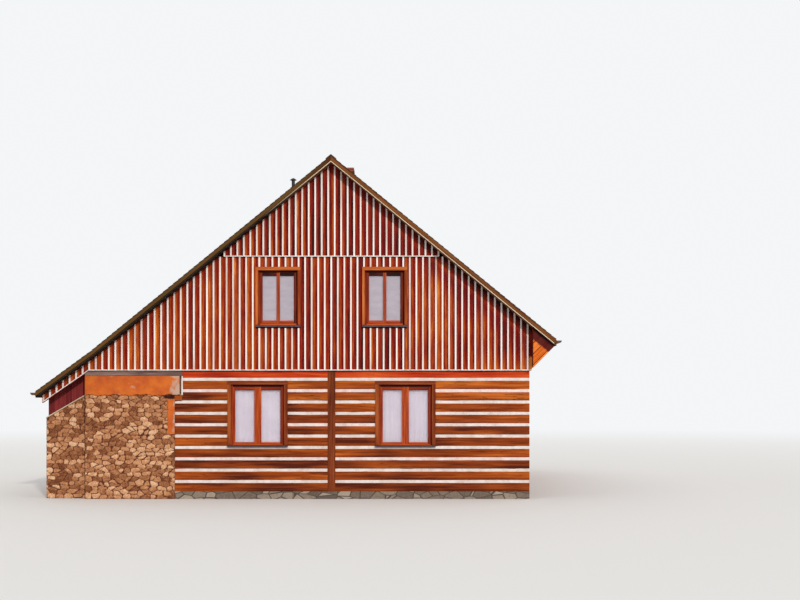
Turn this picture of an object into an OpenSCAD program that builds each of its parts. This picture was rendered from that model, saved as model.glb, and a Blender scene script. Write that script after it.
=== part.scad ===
/* [Plan] */
// House length between the outer faces of the two gable log walls
house_len = 12500; // [11000:100:15000]
// Ridge line to the outer face of the right log wall
right_wall_x = 4940; // [4500:10:5400]
// Ridge line to the outer face of the left stone wall
left_wall_x = 7200; // [7000:10:7260]
// Ridge line to the left end of the lower logs
log_end_low = 3927; // [3850:1:4000]
// How much shorter the upper logs and plates are at that end
log_step = 192; // [120:1:260]
// How far the facade's centre line lies left of the ridge line
facade_shift = 10; // [0:5:60]

/* [Ground storey] */
// Height of the stone plinth under the logs
plinth_h = 191; // [120:1:260]
// Height of one squared log
log_h = 209; // [190:1:215]
// Height of the white joint between two logs
chink_h = 75; // [60:1:80]
// Number of log courses
log_count = 10; // [10:1:11]
// Thickness of a log wall
log_t = 200; // [160:5:240]
// Bevel on the long edges of a log
log_bevel = 18; // [5:1:30]
// How far the white joints lie behind the log faces
chink_recess = 14; // [4:1:30]
// Height of the top plate beam on the log walls
plate_h = 181; // [140:1:220]
// Width of the post in the middle of a gable log wall
post_w = 190; // [150:5:240]
// How far that post stands out of the log face
post_proud = 12; // [0:1:30]

/* [Stone annex] */
// Thickness of the stone walls
stone_t = 450; // [350:10:600]
// How far the stone and plaster stand out of the log face
stone_proud = 30; // [10:1:60]
// Height of the plaster band on the stone wall
band_h = 457; // [400:1:500]
// Height of the plate beam on the plaster band
annex_plate_h = 138; // [100:1:180]
// From the annex's left end to where the roof comes down to that plate
annex_gap = 193; // [100:1:280]
// Open joint between the plaster band and the upper logs
band_gap = 67; // [30:1:90]
// How far the low wing wall lies behind the log face
wing_back = 200; // [120:10:260]
// Clear height from the wing wall's top to the roof beside the annex
wing_open_in = 743; // [600:1:1000]
// Clear height from the wing wall's top to the roof at the outer corner
wing_open_out = 586; // [400:1:800]
// Distance of the boards over the wing wall behind its face
infill_back = 200; // [100:10:280]
// Thickness of those boards
infill_t = 50; // [30:5:80]
// Thickness of the raking board on the wing wall
coping_t = 35; // [20:1:60]
// How far that board stands out of the wing wall
coping_proud = 30; // [10:1:60]

/* [Gables] */
// Boarding between the attic window casings and the upper tier
tier_gap = 254; // [150:2:400]
// How far the gable walls reach in behind the log face
gable_in = 60; // [40:5:100]
// How far the lower tier's boarding stands out of the log face
gable_out = 90; // [60:5:120]
// How far the upper tier's boarding stands out of the lower one's
tier_step = 40; // [20:5:60]
// How far the boarding laps past the right wall face
corner_lap = 58; // [30:1:90]
// Width of the skirt under the left verge, beside the annex
skirt_in = 217; // [150:1:300]
// Width of that skirt at the eaves
skirt_out = 173; // [120:1:240]

/* [Roof] */
// Height of the ridge above the top plates
ridge_h = 5306; // [5100:1:5600]
// Pitch of the roof in degrees
roof_angle = 39.197; // [38:0.001:40]
// How many degrees flatter the foot of the left slope is
foot_angle = 3.067; // [1:0.001:6]
// Width of that flatter foot on plan
foot_w = 1387; // [900:1:1800]
// How far the left slope reaches past the left wall
left_eave = 88; // [70:1:300]
// How far the right slope reaches past the right wall
right_eave = 623; // [560:1:860]
// Thickness of the roof, square to its slope
roof_t = 130; // [110:5:200]
// Thickness of the roofing that laps over the bargeboards
roofing_t = 30; // [20:1:40]
// How far the bargeboard face stands out of the log face
verge = 440; // [400:5:560]
// Thickness of a bargeboard
barge_t = 35; // [25:1:50]
// Height of the pale strip under a bargeboard, square to the slope
strip_h = 22; // [15:1:35]
// How far the strip lies behind the bargeboard face
strip_back = 8; // [3:1:20]
// How far the roofing laps past the bargeboard face
roofing_lap = 6; // [0:1:30]
// Leg of the ridge cap, along the slope
cap_leg = 170; // [120:5:250]
// Thickness of the ridge cap
cap_t = 14; // [8:1:30]
// Height on the wall of the boarded box under the right eaves
box_drop = 999; // [900:1:1080]
// Height of the blunt tip of that box under the roof
box_tip_h = 75; // [40:1:140]
// Gap between the tip of that box and the eaves
box_tip_gap = 60; // [10:1:90]
// How far the ends of that box stand out of the log face
box_out = 340; // [100:5:390]
// Outer radius of the gutters
gutter_r = 64; // [50:1:80]
// Wall of the gutters
gutter_wall = 8; // [5:1:12]

/* [Chimney and vent] */
// Width of the chimney stack
stack_w = 520; // [400:10:640]
// Distance of the stack's front face behind the front log face
stack_y = 6000; // [3000:10:7000]
// Height of the chimney's top above the ridge
stack_h = 920; // [600:1:1500]
// Height of the wider brick crown
crown_h = 110; // [60:5:200]
// How far the crown stands out on each side
crown_out = 60; // [20:5:100]
// Width of the flue
flue_w = 240; // [140:10:300]
// Depth of the open flue
flue_deep = 500; // [200:10:700]
// Joint between the stack and the floor or roof around it
stack_gap = 0.3; // [0.3:0.1:10]
// Ridge line to the vent pipe's axis
vent_x = 1098; // [700:1:2500]
// Distance of the vent pipe's axis behind the front log face
vent_y = 1500; // [600:10:5000]
// Height of the vent cap's top above the roof beside it
vent_h = 679; // [400:1:1200]
// Radius of the vent pipe
vent_r = 48; // [35:1:70]
// Radius of the vent cap
vent_cap_r = 90; // [75:1:120]
// Height of the vent cap
vent_cap_h = 95; // [60:5:140]

/* [Windows] */
// Distance of the ground windows from the facade's centre line
ground_win_x = 1848; // [1600:1:2000]
// Width of a ground window's opening
ground_win_w = 1338; // [1200:2:1500]
// Height of a ground window's opening
ground_win_h = 1510; // [1400:5:1540]
// Wall between its head and the top plate
ground_head = 171; // [120:1:260]
// Width of its outer frame and sash stile
ground_stile = 102; // [80:1:130]
// Width of its middle bar
ground_mullion = 169; // [100:1:200]
// Height of its top rails
ground_rail_top = 140; // [100:1:160]
// Height of its bottom rails
ground_rail_low = 70; // [50:1:100]
// How far its frame lies behind the casing face
ground_recess = 62; // [40:1:100]
// Distance of the attic windows from the facade's centre line
attic_win_x = 1330; // [1200:1:1500]
// Width of an attic window's opening
attic_win_w = 995; // [850:5:1100]
// Height of an attic window's opening
attic_win_h = 1357; // [1200:1:1450]
// Height of its sill above the top plates
attic_sill = 1138; // [900:1:1400]
// Width of its outer frame and sash stile
attic_stile = 105; // [80:1:130]
// Width of its middle bar
attic_mullion = 80; // [60:1:120]
// Height of its top rails
attic_rail_top = 132; // [100:1:160]
// Height of its bottom rails
attic_rail_low = 112; // [80:1:140]
// How far its frame lies behind the casing face
attic_recess = 98; // [60:1:110]
// Width of the ground windows' side casings
ground_casing_w = 86; // [60:1:100]
// Width of the attic windows' side casings
attic_casing_w = 66; // [50:1:90]
// Height of the head casings
casing_h = 86; // [60:1:110]
// Thickness of the casing boards
casing_t = 28; // [15:1:40]
// Depth of the window frames
frame_t = 64; // [50:1:80]
// Thickness of the glass
glass_t = 8; // [4:1:12]
// Height of the window sills
sill_h = 55; // [30:1:70]
// How far the sills stand out of the casings
sill_proud = 26; // [10:1:50]
// First side window's centre behind the front log face
side_win_a = 2300; // [1900:50:2600]
// Second side window's centre behind the front log face
side_win_b = 4900; // [4500:50:5100]
// Last side window's centre in front of the back log face
side_win_c = 2300; // [1900:50:2600]

/* [Side door] */
// Door's centre behind the front log face
door_y = 7400; // [7000:50:7900]
// Width of the door opening
door_w = 1000; // [800:10:1200]
// Height of the door opening above the plinth
door_h = 2050; // [1900:10:2150]
// Thickness of the door leaf
door_t = 60; // [40:1:80]
// How far the leaf lies behind the log face
door_recess = 50; // [20:1:90]
// Width of the door lining
lining_w = 60; // [40:1:90]

/* [Hidden] */

// Heights of the storeys
course_h = log_h + chink_h;
plates_z = plinth_h + log_count * course_h;
gable_z = plates_z + plate_h;
ridge_z = gable_z + ridge_h;
stack_top = ridge_z + stack_h;
band_top = gable_z - annex_plate_h;
stone_h = band_top - band_h;
ground_sill_z = plates_z - ground_head - ground_win_h;
attic_sill_z = gable_z + attic_sill;
tier_z = attic_sill_z + attic_win_h + casing_h + tier_gap;

// Roof lines: depth is measured square to the slope, run away from the ridge line
left_eave_x = left_wall_x + left_eave;
right_eave_x = right_wall_x + right_eave;
kick_x = left_eave_x - foot_w;
kick_angle = roof_angle - foot_angle;
rise = tan(roof_angle);
kick_rise = tan(kick_angle);
kick_z = ridge_z - rise * kick_x;
function main_z(run, depth) = ridge_z - depth / cos(roof_angle) - rise * run;
function foot_z(run, depth) = kick_z - depth / cos(kick_angle) - kick_rise * (run - kick_x);
function left_z(run, depth) = max(main_z(run, depth), foot_z(run, depth));
function bend_run(depth) =
    kick_x + (depth / cos(kick_angle) - depth / cos(roof_angle)) / (rise - kick_rise);
function main_run(z, depth) = (ridge_z - depth / cos(roof_angle) - z) / rise;
function foot_run(z, depth) = kick_x + (kick_z - depth / cos(kick_angle) - z) / kick_rise;
function left_run(z, depth) = max(main_run(z, depth), foot_run(z, depth));
under_bend = bend_run(roof_t);

// The underside of the left slope from one run to another
function left_under(a, b) = concat(
    [[-a, left_z(a, roof_t)]],
    a < under_bend && under_bend < b ? [[-under_bend, left_z(under_bend, roof_t)]] : [],
    [[-b, left_z(b, roof_t)]]);

// The lower logs run further left than the upper ones, under the annex's stones
high_from = floor((stone_h - plinth_h) / course_h);
step_z = course_z(high_from);
log_end_high = log_end_low - log_step;
annex_left_x = left_run(gable_z, roof_t) - annex_gap;
wing_top_in = left_z(annex_left_x, roof_t) - wing_open_in;
wing_top_out = left_z(left_wall_x, roof_t) - wing_open_out;

// Planes across the walls
stone_in = stone_t - stone_proud;
wing_in = wing_back + stone_t;
infill_y = wing_back + infill_back;
left_wall_in = left_wall_x - stone_t;
right_wall_in = right_wall_x - log_t;
gable_right_x = right_wall_x + corner_lap;
knee_t = gable_in + gable_out;
tier_high_out = gable_out + tier_step;
roofing_y = verge + roofing_lap;
slab_y = verge - barge_t;
strip_y = verge - strip_back;
barge_low = roof_t - strip_h;
barge_joint = 1;
strip_end = 60;
gutter_end = 20;

function course_z(i) = plinth_h + i * course_h;

// The origin lies on the ground under the middle of the whole outline
shift_x = (left_eave_x - right_eave_x) / 2;
shift_y = -house_len / 2;
cut = 1;

module place() {
    translate([shift_x, shift_y, 0]) children();
}

// The same piece at the back gable
module at_back() {
    translate([0, house_len, 0]) mirror([0, 1, 0]) children();
}

module at_both_gables() {
    children();
    at_back() children();
}

// An outline in x and z, carried along y
module prism_y(points, y0, y1) {
    translate([0, y1, 0]) rotate([90, 0, 0]) linear_extrude(y1 - y0) polygon(points);
}

// An outline in y and z, carried along x
module prism_x(points, x0, x1) {
    translate([x0, 0, 0]) rotate([90, 0, 90]) linear_extrude(x1 - x0) polygon(points);
}

module box(low, high) {
    translate(low) cube(high - low);
}

function bevelled(w, h, b) =
    [[b, 0], [w - b, 0], [w, b], [w, h - b], [w - b, h], [b, h], [0, h - b], [0, b]];

module beam_x(x0, x1, z0, h) {
    translate([0, 0, z0]) prism_x(bevelled(log_t, h, log_bevel), x0, x1);
}

module beam_y(y0, y1, z0, h) {
    translate([right_wall_in, 0, z0]) prism_y(bevelled(log_t, h, log_bevel), y0, y1);
}

// Where the windows stand: the origin goes to the middle of the sill on the wall's face
module at_front_pair(win_x, sill_z, face) {
    for (side = [-1, 1])
        translate([side * win_x - facade_shift, -face, sill_z]) children();
}

module at_side_wall(y, z) {
    translate([right_wall_x, y, z]) rotate([0, 0, 90]) children();
}

module at_ground_windows() {
    at_both_gables() at_front_pair(ground_win_x, ground_sill_z, 0) children();
    for (y = [side_win_a, side_win_b, house_len - side_win_c])
        at_side_wall(y, ground_sill_z) children();
}

module at_attic_windows() {
    at_both_gables() at_front_pair(attic_win_x, attic_sill_z, gable_out) children();
}

module hole(w, h, depth) {
    translate([-w / 2, -cut, 0]) cube([w, depth + 2 * cut, h]);
}

module ground_holes() {
    at_ground_windows() hole(ground_win_w, ground_win_h, log_t);
}

module attic_holes() {
    at_attic_windows() hole(attic_win_w, attic_win_h, gable_out + gable_in);
}

module door_hole() {
    at_side_wall(door_y, plinth_h) hole(door_w, door_h, log_t);
}

module post_slot() {
    translate([-facade_shift - post_w / 2, -cut, 0]) cube([post_w, log_t + 2 * cut, gable_z + cut]);
}

// Left end of the front logs at one course
function log_end(i) = i < high_from ? log_end_low : log_end_high;

module gable_log_wall() {
    difference() {
        for (i = [0 : log_count - 1])
            beam_x(-log_end(i), right_wall_x, course_z(i), log_h);
        ground_holes();
        post_slot();
    }
}

module gable_chinks() {
    difference() {
        for (i = [0 : log_count - 1])
            box([-log_end(i), chink_recess, course_z(i) + log_h],
                [right_wall_x - chink_recess, log_t - chink_recess, course_z(i + 1)]);
        ground_holes();
        post_slot();
    }
}

module gable_plinth() {
    box([-log_end_low, 0, 0], [right_wall_x, log_t, plinth_h]);
}

module gable_top_plate() {
    difference() {
        beam_x(-log_end_high, right_wall_x, plates_z, plate_h);
        post_slot();
    }
}

module front_plinth() {
    color("gray") place() gable_plinth();
}

module back_plinth() {
    color("gray") place() at_back() gable_plinth();
}

module right_plinth() {
    color("gray") place()
        box([right_wall_in, log_t, 0], [right_wall_x, house_len - log_t, plinth_h]);
}

module ground_floor() {
    // Outline of the rooms, stepping round the thicker annex and wing walls
    front = [[right_wall_in, log_t], [-log_end_low, log_t], [-log_end_low, stone_in],
        [-annex_left_x, stone_in], [-annex_left_x, wing_in], [-left_wall_in, wing_in]];
    back = [for (i = [len(front) - 1 : -1 : 0]) [front[i][0], house_len - front[i][1]]];
    color("silver") place() linear_extrude(plinth_h) polygon(concat(front, back));
}

module front_logs() {
    color("saddlebrown") place() gable_log_wall();
}

module back_logs() {
    color("saddlebrown") place() at_back() gable_log_wall();
}

module right_logs() {
    color("saddlebrown") place() difference() {
        for (i = [0 : log_count - 1])
            beam_y(log_t, house_len - log_t, course_z(i), log_h);
        ground_holes();
        door_hole();
    }
}

module front_chinking() {
    color("white") place() gable_chinks();
}

module back_chinking() {
    color("white") place() at_back() gable_chinks();
}

module right_chinking() {
    color("white") place() difference() {
        for (i = [0 : log_count - 1])
            box([right_wall_in + chink_recess, log_t, course_z(i) + log_h],
                [right_wall_x - chink_recess, house_len - log_t, course_z(i + 1)]);
        ground_holes();
        door_hole();
    }
}

module gable_posts() {
    color("sienna") place() at_both_gables()
        box([-facade_shift - post_w / 2, -post_proud, plinth_h],
            [-facade_shift + post_w / 2, log_t, gable_z]);
}

module front_top_plate() {
    color("orangered") place() gable_top_plate();
}

module back_top_plate() {
    color("orangered") place() at_back() gable_top_plate();
}

module right_top_plate() {
    color("orangered") place() beam_y(log_t, house_len - log_t, plates_z, plate_h);
}

module annex_plates() {
    color("dimgray") place() at_both_gables()
        box([-annex_left_x, -stone_proud, band_top], [-log_end_high, log_t, gable_z]);
}

module annex_end_wall() {
    prism_y([[-annex_left_x, 0], [-log_end_low, 0], [-log_end_low, step_z],
        [-log_end_high, step_z], [-log_end_high, stone_h], [-annex_left_x, stone_h]],
        -stone_proud, stone_in);
}

module annex_front_wall() {
    color("rosybrown") place() annex_end_wall();
}

module annex_back_wall() {
    color("rosybrown") place() at_back() annex_end_wall();
}

module left_wall() {
    color("rosybrown") place()
        prism_y(concat([[-left_wall_x, 0], [-left_wall_in, 0]], left_under(left_wall_in, left_wall_x)),
            wing_in, house_len - wing_in);
}

module wing_walls() {
    color("rosybrown") place() at_both_gables()
        prism_y([[-left_wall_x, 0], [-annex_left_x, 0],
            [-annex_left_x, wing_top_in], [-left_wall_x, wing_top_out]],
            wing_back, wing_in);
}

module wing_infill() {
    color("maroon") place() at_both_gables()
        prism_y(concat([[-left_wall_x, wing_top_out], [-annex_left_x, wing_top_in]],
            left_under(annex_left_x, left_wall_x)),
            infill_y, infill_y + infill_t);
}

module wing_copings() {
    color("wheat") place() at_both_gables()
        prism_y([[-left_wall_x, wing_top_out], [-annex_left_x, wing_top_in],
            [-annex_left_x, wing_top_in + coping_t], [-left_wall_x, wing_top_out + coping_t]],
            wing_back - coping_proud, infill_y);
}

module plaster_bands() {
    // The band carries the attic floor on its inner ledge
    profile = [[-stone_proud, stone_h], [stone_in, stone_h], [stone_in, plates_z],
        [log_t, plates_z], [log_t, band_top], [-stone_proud, band_top]];
    color("darkorange") place() at_both_gables() difference() {
        prism_x(profile, -annex_left_x, -log_end_high);
        box([-log_end_high - band_gap, -stone_proud - cut, stone_h - cut],
            [-log_end_high + cut, log_t / 2, band_top + cut]);
    }
}

module attic_floor() {
    low_x = min(left_run(plates_z, roof_t), left_wall_in);
    high_x = min(left_run(gable_z, roof_t), left_wall_in);
    color("burlywood") place() difference() {
        prism_y([[-low_x, plates_z], [right_wall_in, plates_z], [right_wall_in, gable_z], [-high_x, gable_z]],
            log_t, house_len - log_t);
        stack_hole(plates_z - cut, gable_z + cut);
        at_both_gables()
            box([-left_wall_x, 0, plates_z - cut], [-annex_left_x, wing_in, gable_z + cut]);
    }
}

module right_knee_wall() {
    inner_x = gable_right_x - knee_t;
    color("firebrick") place()
        prism_y([[inner_x, gable_z], [gable_right_x, gable_z],
            [gable_right_x, main_z(gable_right_x, roof_t)], [inner_x, main_z(inner_x, roof_t)]],
            gable_in, house_len - gable_in);
}

module gable_lower() {
    tier_run = main_run(tier_z, roof_t);
    left_line = left_under(tier_run, left_run(gable_z, roof_t));
    difference() {
        prism_y(concat([[gable_right_x, gable_z], [gable_right_x, main_z(gable_right_x, roof_t)],
            [tier_run, tier_z]], left_line),
            -gable_out, gable_in);
        attic_holes();
    }
}

module gable_upper() {
    tier_run = main_run(tier_z, roof_t);
    prism_y([[-tier_run, tier_z], [tier_run, tier_z], [0, main_z(0, roof_t)]],
        -tier_high_out, gable_in);
}

module front_gable_lower() {
    color("firebrick") place() gable_lower();
}

module front_gable_upper() {
    color("firebrick") place() gable_upper();
}

module back_gable_lower() {
    color("firebrick") place() at_back() gable_lower();
}

module back_gable_upper() {
    color("firebrick") place() at_back() gable_upper();
}

module verge_skirts() {
    // The boarding runs on below the wall's foot line, under the left verge
    outer = left_eave_x - strip_end;
    color("firebrick") place() at_both_gables()
        prism_y(concat([[-annex_left_x, gable_z]], left_under(left_run(gable_z, roof_t), outer),
            [[-outer, left_z(outer, roof_t) - skirt_out],
            [-annex_left_x, left_z(annex_left_x, roof_t) - skirt_in]]),
            -gable_out, gable_in);
}

// A layer of the left slope between two depths
module left_layer(d0, d1, start, y0, y1) {
    prism_y([[-start, main_z(start, d0)], [-bend_run(d0), main_z(bend_run(d0), d0)],
        [-left_eave_x, foot_z(left_eave_x, d0)], [-left_eave_x, foot_z(left_eave_x, d1)],
        [-bend_run(d1), main_z(bend_run(d1), d1)], [-start, main_z(start, d1)]],
        y0, y1);
}

// A layer of the right slope between two depths
module right_layer(d0, d1, start, y0, y1) {
    prism_y([[start, main_z(start, d0)], [right_eave_x, main_z(right_eave_x, d0)],
        [right_eave_x, main_z(right_eave_x, d1)], [start, main_z(start, d1)]],
        y0, y1);
}

module stack_hole(z0, z1) {
    side = stack_w / 2 + stack_gap;
    box([-side, stack_y - stack_gap, z0], [side, stack_y + stack_w + stack_gap, z1]);
}

module roof_left() {
    color("dimgray") place() difference() {
        union() {
            left_layer(0, roofing_t, 0, -roofing_y, house_len + roofing_y);
            left_layer(roofing_t, roof_t, 0, -slab_y, house_len + slab_y);
        }
        stack_hole(gable_z, ridge_z + cut);
    }
}

module roof_right() {
    color("dimgray") place() difference() {
        union() {
            right_layer(0, roofing_t, 0, -roofing_y, house_len + roofing_y);
            right_layer(roofing_t, roof_t, 0, -slab_y, house_len + slab_y);
        }
        stack_hole(gable_z, ridge_z + cut);
    }
}

module ridge_cap() {
    run = cap_leg * cos(roof_angle);
    cap_v = cap_t / cos(roof_angle);
    profile = [[0, ridge_z], [run, main_z(run, 0)], [run, main_z(run, 0) + cap_v], [0, ridge_z + cap_v],
        [-run, main_z(run, 0) + cap_v], [-run, main_z(run, 0)]];
    color("black") place() {
        prism_y(profile, -roofing_y, stack_y - stack_gap);
        prism_y(profile, stack_y + stack_w + stack_gap, house_len + roofing_y);
    }
}

module bargeboards() {
    color("sienna") place() at_both_gables() {
        left_layer(roofing_t, barge_low, barge_joint / 2, -verge, -slab_y);
        right_layer(roofing_t, barge_low, barge_joint / 2, -verge, -slab_y);
    }
}

// A strip under the bargeboard on the edge of the roof, cut off short of the eaves
module verge_strips() {
    color("wheat") place() at_both_gables() difference() {
        union() {
            left_layer(barge_low, roof_t, barge_joint / 2, -strip_y, -slab_y);
            right_layer(barge_low, roof_t, barge_joint / 2, -strip_y, -slab_y);
        }
        box([-left_eave_x - cut, -verge, 0], [-left_eave_x + strip_end, 0, ridge_z]);
        box([right_eave_x - strip_end, -verge, 0], [right_eave_x + cut, 0, ridge_z]);
    }
}

module eaves_box() {
    tip = right_eave_x - box_tip_gap;
    color("darkorange") place()
        prism_y([[gable_right_x, main_z(gable_right_x, roof_t)], [tip, main_z(tip, roof_t)],
            [tip, main_z(tip, roof_t) - box_tip_h],
            [gable_right_x, main_z(gable_right_x, roof_t) - box_drop]],
            -box_out, house_len + box_out);
}

// Half-round channel, open upwards
module gutter(x, z) {
    inner = gutter_r - gutter_wall;
    outline = concat(
        [for (a = [180 : 15 : 360]) [x + gutter_r * cos(a), z + gutter_r * sin(a)]],
        [for (a = [360 : -15 : 180]) [x + inner * cos(a), z + inner * sin(a)]]);
    prism_y(outline, gutter_end - verge, house_len + verge - gutter_end);
}

module gutters() {
    color("saddlebrown") place() {
        gutter(-left_eave_x - gutter_r, foot_z(left_eave_x, roofing_t));
        gutter(right_eave_x + gutter_r, main_z(right_eave_x, roofing_t));
    }
}

module chimney() {
    half = stack_w / 2;
    crown = half + crown_out;
    color("brown") place() difference() {
        union() {
            box([-half, stack_y, plinth_h], [half, stack_y + stack_w, stack_top]);
            box([-crown, stack_y - crown_out, stack_top - crown_h],
                [crown, stack_y + stack_w + crown_out, stack_top]);
        }
        box([-flue_w / 2, stack_y + (stack_w - flue_w) / 2, stack_top - flue_deep],
            [flue_w / 2, stack_y + (stack_w + flue_w) / 2, stack_top + cut]);
    }
}

module vent_pipe() {
    reach = 2 * vent_r;
    vent_top = main_z(vent_x, 0) + vent_h;
    color("black") place() difference() {
        translate([-vent_x, vent_y, 0]) {
            translate([0, 0, gable_z]) cylinder(h = vent_top - vent_cap_h - gable_z, r = vent_r, $fn = 48);
            translate([0, 0, vent_top - vent_cap_h])
                cylinder(h = vent_cap_h, r1 = vent_cap_r, r2 = vent_r / 2, $fn = 48);
        }
        prism_y([[-vent_x - reach, 0], [-vent_x + reach, 0],
            [-vent_x + reach, main_z(vent_x - reach, 0)], [-vent_x - reach, main_z(vent_x + reach, 0)]],
            vent_y - reach, vent_y + reach);
    }
}

// Two side boards and a head board round an opening, on the wall's face
module casing(w, h, side_w) {
    outer = w / 2 + side_w;
    difference() {
        translate([-outer, -casing_t, 0]) cube([2 * outer, casing_t, h + casing_h]);
        translate([-w / 2, -casing_t - cut, -cut]) cube([w, casing_t + 2 * cut, h + cut]);
    }
}

// The frame with its pair of sashes, and the place of one pane of glass
module sash_pair(w, h, stile, mullion, low, top, recess) {
    translate([0, recess - casing_t, 0]) difference() {
        translate([-w / 2, 0, 0]) cube([w, frame_t, h]);
        for (side = [-1, 1]) pane(side, w, h, stile, mullion, low, top, -cut, frame_t + 2 * cut);
    }
}

module pane(side, w, h, stile, mullion, low, top, y, depth) {
    pane_w = (w - mullion) / 2 - stile;
    left = side < 0 ? -mullion / 2 - pane_w : mullion / 2;
    translate([left, y, low]) cube([pane_w, depth, h - low - top]);
}

module glass_pair(w, h, stile, mullion, low, top, recess) {
    translate([0, recess - casing_t, 0])
        for (side = [-1, 1])
            pane(side, w, h, stile, mullion, low, top, (frame_t - glass_t) / 2, glass_t);
}

module sill(w, side_w) {
    outer = w / 2 + side_w;
    translate([-outer, -casing_t - sill_proud, -sill_h]) cube([2 * outer, casing_t + sill_proud, sill_h]);
}

module ground_casings() {
    color("chocolate") place() at_ground_windows() casing(ground_win_w, ground_win_h, ground_casing_w);
}

module attic_casings() {
    color("chocolate") place() at_attic_windows() casing(attic_win_w, attic_win_h, attic_casing_w);
}

module ground_sashes() {
    color("brown") place() at_ground_windows()
        sash_pair(ground_win_w, ground_win_h, ground_stile, ground_mullion,
            ground_rail_low, ground_rail_top, ground_recess);
}

module attic_sashes() {
    color("brown") place() at_attic_windows()
        sash_pair(attic_win_w, attic_win_h, attic_stile, attic_mullion,
            attic_rail_low, attic_rail_top, attic_recess);
}

module ground_glass() {
    color("lavender") place() at_ground_windows()
        glass_pair(ground_win_w, ground_win_h, ground_stile, ground_mullion,
            ground_rail_low, ground_rail_top, ground_recess);
}

module attic_glass() {
    color("lavender") place() at_attic_windows()
        glass_pair(attic_win_w, attic_win_h, attic_stile, attic_mullion,
            attic_rail_low, attic_rail_top, attic_recess);
}

module window_sills() {
    color("slategray") place() {
        at_ground_windows() sill(ground_win_w, ground_casing_w);
        at_attic_windows() sill(attic_win_w, attic_casing_w);
    }
}

module door_frame() {
    inner = door_w / 2 - lining_w;
    color("chocolate") place() at_side_wall(door_y, plinth_h) difference() {
        translate([-door_w / 2, 0, 0]) cube([door_w, log_t, door_h]);
        translate([-inner, -cut, -cut]) cube([2 * inner, log_t + 2 * cut, door_h - lining_w + cut]);
    }
}

module door_leaf() {
    inner = door_w / 2 - lining_w;
    color("sienna") place() at_side_wall(door_y, plinth_h)
        translate([-inner, door_recess, 0]) cube([2 * inner, door_t, door_h - lining_w]);
}

front_plinth();
right_plinth();
back_plinth();
ground_floor();
front_logs();
right_logs();
back_logs();
front_chinking();
right_chinking();
back_chinking();
gable_posts();
front_top_plate();
right_top_plate();
back_top_plate();
annex_plates();
annex_front_wall();
annex_back_wall();
left_wall();
wing_walls();
wing_infill();
wing_copings();
plaster_bands();
attic_floor();
right_knee_wall();
front_gable_lower();
front_gable_upper();
back_gable_lower();
back_gable_upper();
verge_skirts();
roof_left();
roof_right();
ridge_cap();
bargeboards();
verge_strips();
eaves_box();
gutters();
chimney();
vent_pipe();
ground_casings();
attic_casings();
ground_sashes();
attic_sashes();
ground_glass();
attic_glass();
window_sills();
door_frame();
door_leaf();
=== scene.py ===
import bpy
import numpy as np
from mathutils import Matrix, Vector


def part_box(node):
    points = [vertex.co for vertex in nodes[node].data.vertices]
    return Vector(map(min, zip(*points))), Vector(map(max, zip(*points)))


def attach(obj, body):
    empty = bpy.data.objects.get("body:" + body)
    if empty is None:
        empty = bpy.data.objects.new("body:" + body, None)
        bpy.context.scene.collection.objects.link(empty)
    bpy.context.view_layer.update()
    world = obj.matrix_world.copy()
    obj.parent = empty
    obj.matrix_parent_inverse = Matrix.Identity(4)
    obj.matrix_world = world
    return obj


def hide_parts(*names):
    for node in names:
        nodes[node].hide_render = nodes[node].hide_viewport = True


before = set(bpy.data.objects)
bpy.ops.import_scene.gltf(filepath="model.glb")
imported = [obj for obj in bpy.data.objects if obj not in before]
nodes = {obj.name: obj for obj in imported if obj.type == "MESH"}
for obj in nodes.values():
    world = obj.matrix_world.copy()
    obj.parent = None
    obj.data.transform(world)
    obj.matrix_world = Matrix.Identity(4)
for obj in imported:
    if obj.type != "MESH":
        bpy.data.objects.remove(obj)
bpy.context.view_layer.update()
print("frame loaded,", len(nodes), "nodes")

# House coordinates: x from the ridge line, y from the front log face inwards, z from the ground, in metres
ridgeX = (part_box("ridge_cap")[0].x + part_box("ridge_cap")[1].x) / 2
origin = np.array([ridgeX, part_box("front_logs")[0].y, 0.0])


def low(node):
    # the least corner of a CAD node's box in house coordinates, and high the greatest
    return np.array(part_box(node)[0]) - origin


def high(node):
    return np.array(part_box(node)[1]) - origin


houseLen = float(high("back_logs")[1])


def newObject(name, data):
    obj = bpy.data.objects.new(name, data)
    bpy.context.scene.collection.objects.link(obj)
    return obj


# shader nodes
class Field:
    # a value in a material's nodes: + - * and abs() on it add the Math nodes that work them out
    def __init__(self, socket):
        self.socket = socket
        self.tree = socket.id_data

    def __add__(self, other):
        return calc("ADD", self, other)

    def __sub__(self, other):
        return calc("SUBTRACT", self, other)

    def __rsub__(self, other):
        return calc("SUBTRACT", other, self)

    def __mul__(self, other):
        return calc("MULTIPLY", self, other)

    def __abs__(self):
        return calc("ABSOLUTE", self)


def setInputs(node, sockets):
    # links each field to its input, and sets each plain number or colour
    for key, value in sockets.items():
        if isinstance(value, Field):
            value.tree.links.new(value.socket, node.inputs[key])
        else:
            node.inputs[key].default_value = value


def put(tree, kind, sockets=None, **settings):
    # a new node with its settings, its inputs linked or set
    node = tree.nodes.new(kind)
    for key, value in settings.items():
        setattr(node, key, value)
    setInputs(node, sockets or {})
    return node


def shade(kind, sockets, output=0, **settings):
    # one output of a new node in the tree of the fields that it reads
    tree = next(value.tree for value in sockets.values() if isinstance(value, Field))
    return Field(put(tree, kind, sockets, **settings).outputs[output])


def calc(what, a, b=0.0):
    return shade("ShaderNodeMath", {0: a, 1: b}, operation=what)


def spread(value, a, b, c=0.0, d=1.0):
    # value from a..b to c..d, held at both ends
    return shade("ShaderNodeMapRange", {0: value, 1: a, 2: b, 3: c, 4: d})


def fromNoise(value, c, d):
    # a noise value, which stays in about 0.3..0.7, moved to c..d
    return spread(value, 0.3, 0.7, c, d)


def centred(value):
    return fromNoise(value, -0.5, 0.5)


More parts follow.
